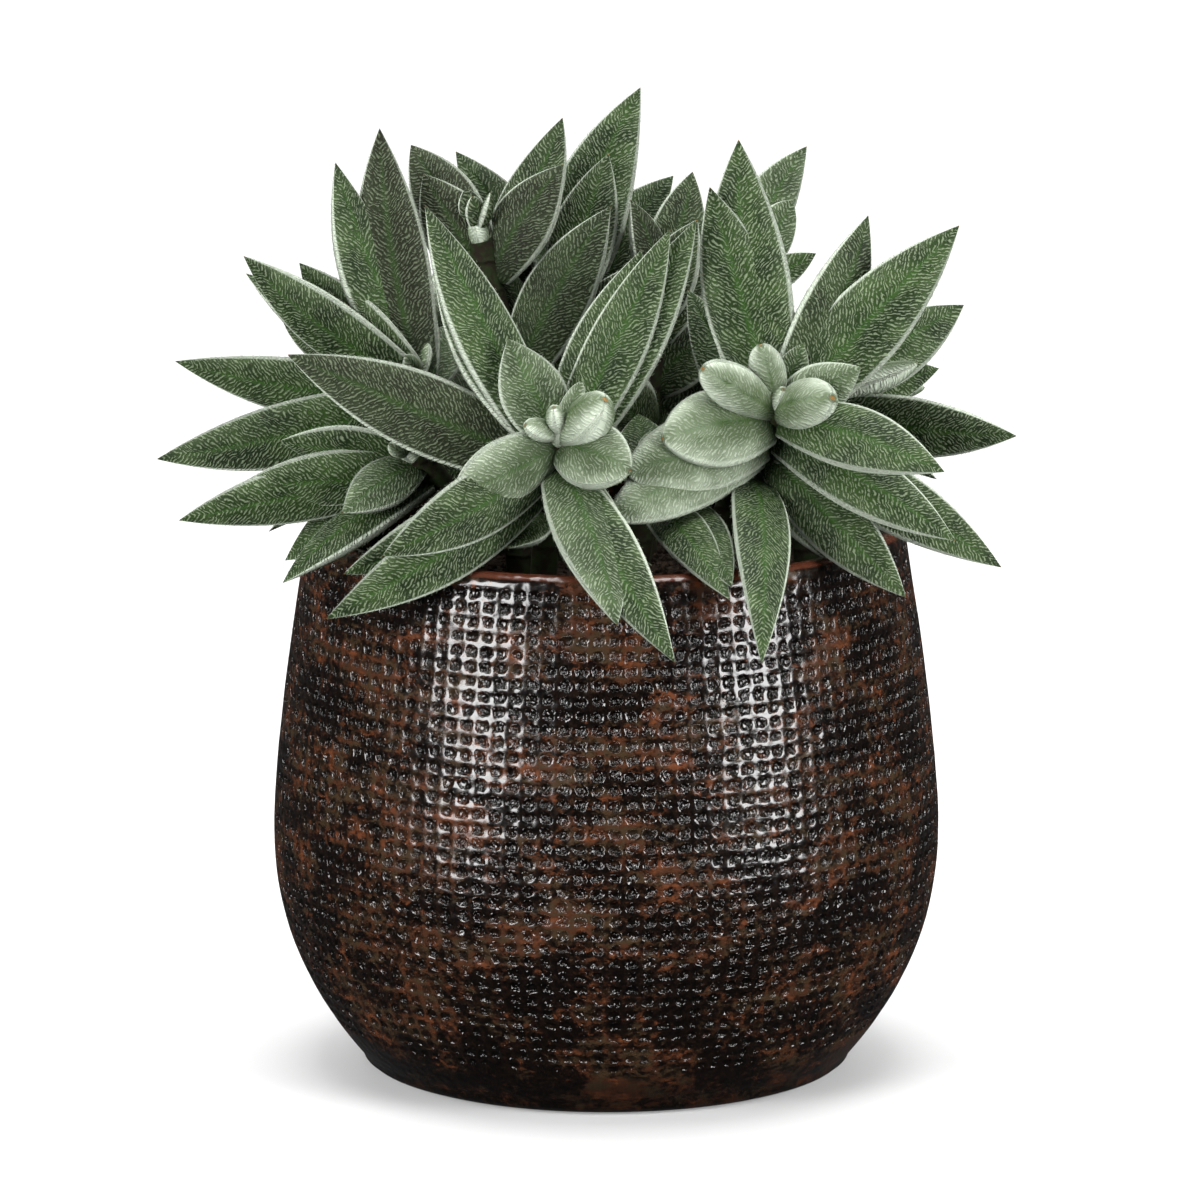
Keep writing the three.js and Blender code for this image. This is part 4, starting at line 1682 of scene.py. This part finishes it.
SHOOTS = (
    Shoot(
        "shoot_front", (-13, -28), (-9.5, -48, 143.5), (0.02, -0.62, 0.78),
        leaves=(
            Leaf(BUD, 2, -101, 50, 9, 4.5),
            Leaf(BUD, 3, -40, 38, 15.5, 10, -1),
            Leaf(BUD, 2, -145, 20, 9, 5),
            Leaf(YOUNG, 3, 35, 64, 12.5, 5),
            Leaf(FULL, 5, 157, 62, 24, 14, -1, -10, tone=-0.35),
            Leaf(YOUNG, 4, -154, -21, 25, 13.5, 1, -50),
            Leaf(YOUNG, 5, -38, -10, 18.5, 14.5, 1.5, 25),
            Leaf(FULL, 8, 146, 48, 45.5, 13.5, -1.5),
            Leaf(FULL, 7, 52, 54, 47, 14.5, -2),
            Leaf(FULL, 8, -151, -23, 44, 14, 3, -45, tone=0.25),
            Leaf(FULL, 10, -71, -36, 46, 15, 4, tone=-0.3),
            Leaf(FULL, 11, 17, 63, 53, 13, -2),
            Leaf(FULL, 12, -160, -29.5, 57, 14, 8, -42, tone=0.1),
            Leaf(FULL, 11, 165, 62, 59, 14, -2),
            Leaf(FULL, 12, -59, -35, 56.5, 13, 6, 25),
            Leaf(FULL, 14, 14, 60, 59, 14, -2),
            Leaf(FULL, 15, -158, -20, 49, 13, 3, -50),
            Leaf(FULL, 13, 176, 23, 59.5, 16.5, 0, -40, tone=0.75),
            Leaf(FULL, 25, -113, -10, 22, 8),
        ),
    ),
    Shoot(
        "shoot_right", (22, -14), (35.5, -39, 149), (0.04, -0.6, 0.8),
        leaves=(
            Leaf(BUD, 4, -140, 70, 14.5, 7.5, -1, -30),
            Leaf(FULL, 4, 39, 63, 14.5, 7.5, 0, 10, tone=-0.25),
            Leaf(BUD, 5.5, -149, 31, 21, 9.5, 0, -50),
            Leaf(BUD, 5.5, -39, 18, 15, 11, 0, 40),
            Leaf(FULL, 6, -15, 31, 20.5, 11.5, 0.5, 40, tone=-0.45),
            Leaf(YOUNG, 8, -151, -3, 26.5, 17, 1, -18, tone=-0.15),
            Leaf(FULL, 7, 154, 72, 49, 16, -2, -25),
            Leaf(FULL, 7, -37, -9, 42.5, 14, 3, 25),
            Leaf(YOUNG, 13.5, -148, -7, 34.5, 17, 1.5, -18, tone=-0.15),
            Leaf(FULL, 7, 35, 35, 44, 15.5, 1.5, 10),
            Leaf(YOUNG, 17, -142, -14, 41.5, 14, 2.5, -10, tone=-0.1),
            Leaf(FULL, 10, 29, 62, 47.5, 14.5, 2, 25, 0.8, tone=0.45),
            Leaf(FULL, 12, -28, -24, 46, 13.5, 2, 20),
            Leaf(FULL, 10, 129, 79, 59, 18, 0, -30, -1.7),
            Leaf(FULL, 26, -88, -27, 63, 12, 9, 10, 0.5),
            Leaf(FULL, 11, 8, 47, 56.5, 16.5, 2, 10),
            Leaf(FULL, 14, -8, -28, 54.5, 14, 2, 25, -0.8),
            Leaf(FULL, 17, -41, -35, 46, 13.5, 2, 40, tone=0.2),
            Leaf(FULL, 24, -7, -50, 25, 9, 1, tone=0.35),
            Leaf(FULL, 15, 123, 43, 40, 12, 0, -35),
        ),
    ),
    Shoot(
        "shoot_centre", (6, -22), (10, -30, 133), (0.1, -0.5, 0.86),
        leaves=(
            Leaf(YOUNG, 2, 89, 34, 12, 7),
            Leaf(YOUNG, 3, -74, 21, 11, 7),
            Leaf(FULL, 8, 97, 36, 23, 12, 1, -15),
            Leaf(FULL, 7, -68, -16, 45, 11, 1.5, 20, -2),
            Leaf(FULL, 9, -69, -16, 47, 10.5, 4, 25),
        ),
    ),
    Shoot(
        "shoot_left", (-18, -8), (-41, -14, 149.5), (-0.55, -0.4, 0.74), tone=0.1,
        leaves=(
            Leaf(YOUNG, 3, 80, 55, 11, 6),
            Leaf(YOUNG, 3, -110, 45, 9, 5),
            Leaf(YOUNG, 6, 67, 40, 18, 10, 0, 45),
            Leaf(FULL, 5, 121, 59, 29.5, 13.5, -1, 20, tone=0.1),
            Leaf(YOUNG, 3, 148, 21, 36, 14, 2, -30, tone=0.85),
            Leaf(FULL, 6, 156, 41, 38, 13, 3, -25, tone=-0.15),
            Leaf(FULL, 5, 126, 74, 54.5, 15, -2, 45, -1.7, tone=0.75),
            Leaf(FULL, 5, 169, 35, 46, 13, 3, -50),
            Leaf(FULL, 7, 161, 67, 51.5, 14, -3, 65, -0.5, tone=-0.1),
            Leaf(FULL, 8, 162, 65, 46, 10, -3, 65),
            Leaf(FULL, 8, 157, 29, 48, 12, 0, 10),
            Leaf(FULL, 8, -175, -12, 58, 14, 3, -65, -1),
            Leaf(FULL, 9, -179, 9, 54, 12.5, 2, -75, -0.8),
            Leaf(FULL, 12, 130, 5, 40, 13, 1, tone=0.6),
            Leaf(FULL, 16, 170, -12, 44, 13, 1),
        ),
    ),
    Shoot(
        "shoot_low_left", (-30, -24), (-42, -32, 136.5), (-0.79, -0.32, 0.53),
        leaves=(
            Leaf(YOUNG, 2, -121, 23, 8.5, 4, tone=-0.2),
            Leaf(FULL, 3, -178, 7, 27.5, 10.5, 0, -80),
            Leaf(FULL, 5, -136, -20, 23, 11, 1, -55, tone=-0.3),
            Leaf(FULL, 7, -177, -5, 39, 12.5, 1, -80),
            Leaf(FULL, 8, -175, -10.5, 52.5, 13, -1, -80, 0.4),
            Leaf(FULL, 10, -151, -28, 40, 11.5, 2, -15),
            Leaf(FULL, 8, 172, -33, 36, 13, 2, -30),
        ),
    ),
    Shoot(
        "shoot_back_left", (-14, 0), (-27, 4, 177), (-0.2, -0.1, 0.97), tone=0.55,
        leaves=(
            Leaf(YOUNG, 1, -117, 74, 8, 4.5, tone=0.5),
            Leaf(YOUNG, 1, -30, 70, 9, 5, tone=0.5),
            Leaf(YOUNG, 3, 160, 74, 11, 6, tone=0.5),
            Leaf(FULL, 8, 141, 49, 30.5, 13.5, 2, -35, tone=0.25),
            Leaf(FULL, 12, 1, 58, 29, 14, 2, 60, tone=0.2),
            Leaf(FULL, 10, 37, 57.5, 36.5, 13, -3.5, 40, tone=-0.15),
            Leaf(FULL, 34, -7, 62, 42.5, 15.5, 3, 80),
            Leaf(FULL, 40, -12, 54, 38.5, 12, 0, 100),
            Leaf(FULL, 36, 110, -20, 28, 13, 1),
            Leaf(FULL, 44, 165, 22, 26, 16, 1, -60),
            Leaf(FULL, 54, -169, 4, 23, 14, 1, -75),
            Leaf(FULL, 13, 166, 58, 27, 14.5, 2, -60, tone=0.3),
        ),
    ),
    Shoot(
        "shoot_back", (-8, 13), (-10, 15, 163), (0, -0.2, 0.98), tone=0.35,
        leaves=(
            Leaf(YOUNG, 3, 10, 62, 12, 6, tone=0.15),
            Leaf(YOUNG, 3, 190, 62, 12, 6, tone=0.1),
            Leaf(FULL, 4, 152, 51, 39, 13, 2, -40, tone=-0.5),
            Leaf(FULL, 8, 29, 71, 36.5, 14, 2, 40),
            Leaf(FULL, 14, 44, 66, 58, 17.5, 1, 40, -3, tone=-0.3),
            Leaf(FULL, 4, 40, 37, 39.5, 13, 1, 45, tone=-0.45),
            Leaf(FULL, 24, 27, 65, 39.5, 13, 1, 60),
            Leaf(FULL, 26, -164, 65, 34.5, 13, 1, -70),
            Leaf(FULL, 16, 125, 15, 38, 13, 1),
        ),
    ),
    Shoot(
        "shoot_back_middle", (8, 17), (11, 20, 163), (0.1, -0.25, 0.95), tone=0.45,
        leaves=(
            Leaf(YOUNG, 3, 20, 60, 12, 6),
            Leaf(YOUNG, 3, 230, 60, 12, 6),
            Leaf(FULL, 5, 49, 66, 29, 12, 2, 30, tone=0.1),
            Leaf(FULL, 5, -128, 69, 24.5, 10, 2, -60, tone=0.25),
            Leaf(FULL, 10, -41, 63, 26.5, 12, 2, 100),
            Leaf(FULL, 14, 95, 15, 36, 13, 1),
            Leaf(FULL, 14, 21, 63, 24, 12, 1, 50),
            Leaf(FULL, 24, 20, 40, 20, 13, 1, 60),
            Leaf(FULL, 34, 30, 30, 30, 14, 1, 60),
            Leaf(FULL, 32, -115, 35, 26, 13, 1, 40),
        ),
    ),
    Shoot(
        "shoot_back_right", (30, 14), (29, 17, 167), (0, -0.2, 0.97),
        leaves=(
            Leaf(YOUNG, 3, 110, 60, 12, 6),
            Leaf(YOUNG, 3, -70, 60, 12, 6),
            Leaf(FULL, 2, 39, 56, 30.5, 11.5, -2, 50, -1.5, tone=-0.3),
            Leaf(YOUNG, 4, 33, 54, 20, 10, 0, 60, tone=0.3),
            Leaf(FULL, 6, 7, 27, 17, 7, 0, 75),
            Leaf(FULL, 10, 95, 15, 30, 12, 1),
            Leaf(FULL, 14, 15, -5, 34, 12, 1),
        ),
    ),
    Shoot(
        "shoot_far_right", (42, -2), (46, -8, 148), (0.5, -0.3, 0.8),
        rosette=Rosette(pairs=6, turn=20, longest=48, shown=2),
        leaves=(
            Leaf(FULL, 6, 30, 24, 40, 14.5, 0, 25),
            Leaf(FULL, 8, 36, 7, 34, 11, 0, 60),
            Leaf(FULL, 10, -28, -1, 48, 13, 1, 85, 0.4, tone=0.2),
            Leaf(FULL, 8, 60, 25, 32, 12, 1),
            Leaf(FULL, 12, 30, -10, 42, 13, 1),
        ),
    ),
    Shoot(
        "shoot_rear_left", (-24, 22), (-42, 36, 146), (-0.45, 0.45, 0.77), tone=0.2,
        rosette=Rosette(pairs=6, turn=20, longest=48),
    ),
    Shoot(
        "shoot_rear", (-3, 37), (-4, 56, 145), (-0.05, 0.6, 0.8), tone=0.2,
        rosette=Rosette(pairs=6, turn=10, longest=42),
    ),
    Shoot(
        "shoot_rear_right", (27, 25), (46, 40, 145), (0.5, 0.4, 0.77), tone=0.2,
        rosette=Rosette(pairs=6, turn=25, longest=40),
    ),
)


# Studio


@dataclass
class Lamp:
    """One softbox: where it stands, what it looks at, its size and its strength."""

    name: str
    place: Triple
    aim: Triple
    size: tuple[float, float]
    power: float

    def build(self) -> None:
        """Adds the lamp to the scene."""
        data = bpy.data.lights.new(self.name, "AREA")
        data.shape = "RECTANGLE"
        data.size, data.size_y = self.size
        data.energy = self.power
        lamp = bpy.data.objects.new(self.name, data)
        lamp.location = self.place
        lamp.rotation_euler = aim_angles(self.place, self.aim)
        bpy.context.scene.collection.objects.link(lamp)


def aim_angles(place: Triple, target: Triple) -> Euler:
    """The turn of a lamp or camera that stands at a place and looks at a target."""
    return (Vector(target) - Vector(place)).to_track_quat("-Z", "Y").to_euler()


@dataclass
class Studio:
    """Floor, light and camera, in metres and with the lens and its film in millimetres."""

    floor_radius: float = 6.0
    floor_sides: int = 96
    world: float = 0.05
    camera_place: Triple = (-0.0013, -1.854, 0.469)
    camera_aim: Triple = (-0.0013, 0.0, 0.0985)
    lens: float = 270.6
    film_width: float = 36.0
    lamps: tuple[Lamp, ...] = (
        Lamp("left_softbox", (-1.02, -0.98, 0.46), (0, 0, 0.08), (0.58, 0.85), 42.0),
        Lamp("right_softbox", (1.15, -0.8, 0.46), (0, 0, 0.08), (0.58, 0.85), 42.0),
        Lamp("top_softbox", (0.0, -0.2, 1.7), (0, 0, 0.1), (1.0, 1.0), 34.0),
        Lamp("back_softbox", (0.0, 1.5, 2.6), (0, 1.4, 0.0), (4.0, 3.0), 180.0),
    )

    def build(self) -> None:
        """Makes the floor, the world's light, the lamps and the camera."""
        self._floor()
        self._world()
        for lamp in self.lamps:
            lamp.build()
        data = bpy.data.cameras.new("camera")
        data.lens = self.lens
        data.sensor_width = self.film_width
        camera = bpy.data.objects.new("camera", data)
        camera.location = self.camera_place
        camera.rotation_euler = aim_angles(self.camera_place, self.camera_aim)
        bpy.context.scene.collection.objects.link(camera)
        bpy.context.scene.camera = camera
        bpy.context.scene.view_settings.view_transform = "Standard"

    def _floor(self) -> None:
        """Makes a wide round floor at the pot's foot, which doesn't show in reflections."""
        turns = [math.tau * i / self.floor_sides for i in range(self.floor_sides)]
        reach = self.floor_radius
        ring = [(reach * math.cos(turn), reach * math.sin(turn), 0.0) for turn in turns]
        mesh = bpy.data.meshes.new("floor")
        mesh.from_pydata(ring, [], [list(range(self.floor_sides))])
        mesh.materials.append(FloorFinish().material())
        floor = bpy.data.objects.new("floor", mesh)
        bpy.context.scene.collection.objects.link(floor)
        floor.visible_glossy = False

    def _world(self) -> None:
        """Makes a soft white light from all round."""
        world = bpy.data.worlds.new("studio")
        world.use_nodes = True
        background = world.node_tree.nodes["Background"]
        background.inputs["Color"].default_value = (1, 1, 1, 1)
        background.inputs["Strength"].default_value = self.world
        bpy.context.scene.world = world


def fit_in(piece: bpy.types.Object, slot: str, *nodes: str) -> None:
    """Fixes a finished piece to the plant and reports it.

    Args:
        piece: The piece.
        slot: The record's material slot; not used.
        *nodes: The CAD nodes that it stands for.
    """
    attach(piece, BODY)
    if nodes:
        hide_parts(*nodes)
    piece.data.calc_loop_triangles()
    log.info("%s: %d triangles", piece.name, len(piece.data.loop_triangles))


def corners(box: tuple[Vector, Vector]) -> list[list[float]]:
    """A box's lowest and highest corners as plain lists."""
    return [list(map(float, corner)) for corner in box]


def main() -> None:
    """Builds the pot, the soil, the shoots with their hairs, and the studio."""
    logging.basicConfig(level=logging.INFO, format="%(name)s: %(message)s")
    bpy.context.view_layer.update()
    form = PotForm()
    fit_in(Pot(form, PitNet()).build(), "glazed_pot", "pot")
    fit_in(Soil(form).build(), "potting_soil", "soil")
    shoots = LeafyShoots(
        StemForm(), LeafFinish().material(), StemFinish().material(), HairFinish().material()
    )
    for seed, shoot in enumerate(SHOOTS):
        leaves = shoots.build(shoot, seed)
        hairs = shoots.coat(shoot, leaves, seed)
        fit_in(leaves, "leaf", shoot.name)
        fit_in(hairs, "leaf")
    Studio().build()


if __name__ == "__main__":
    main()
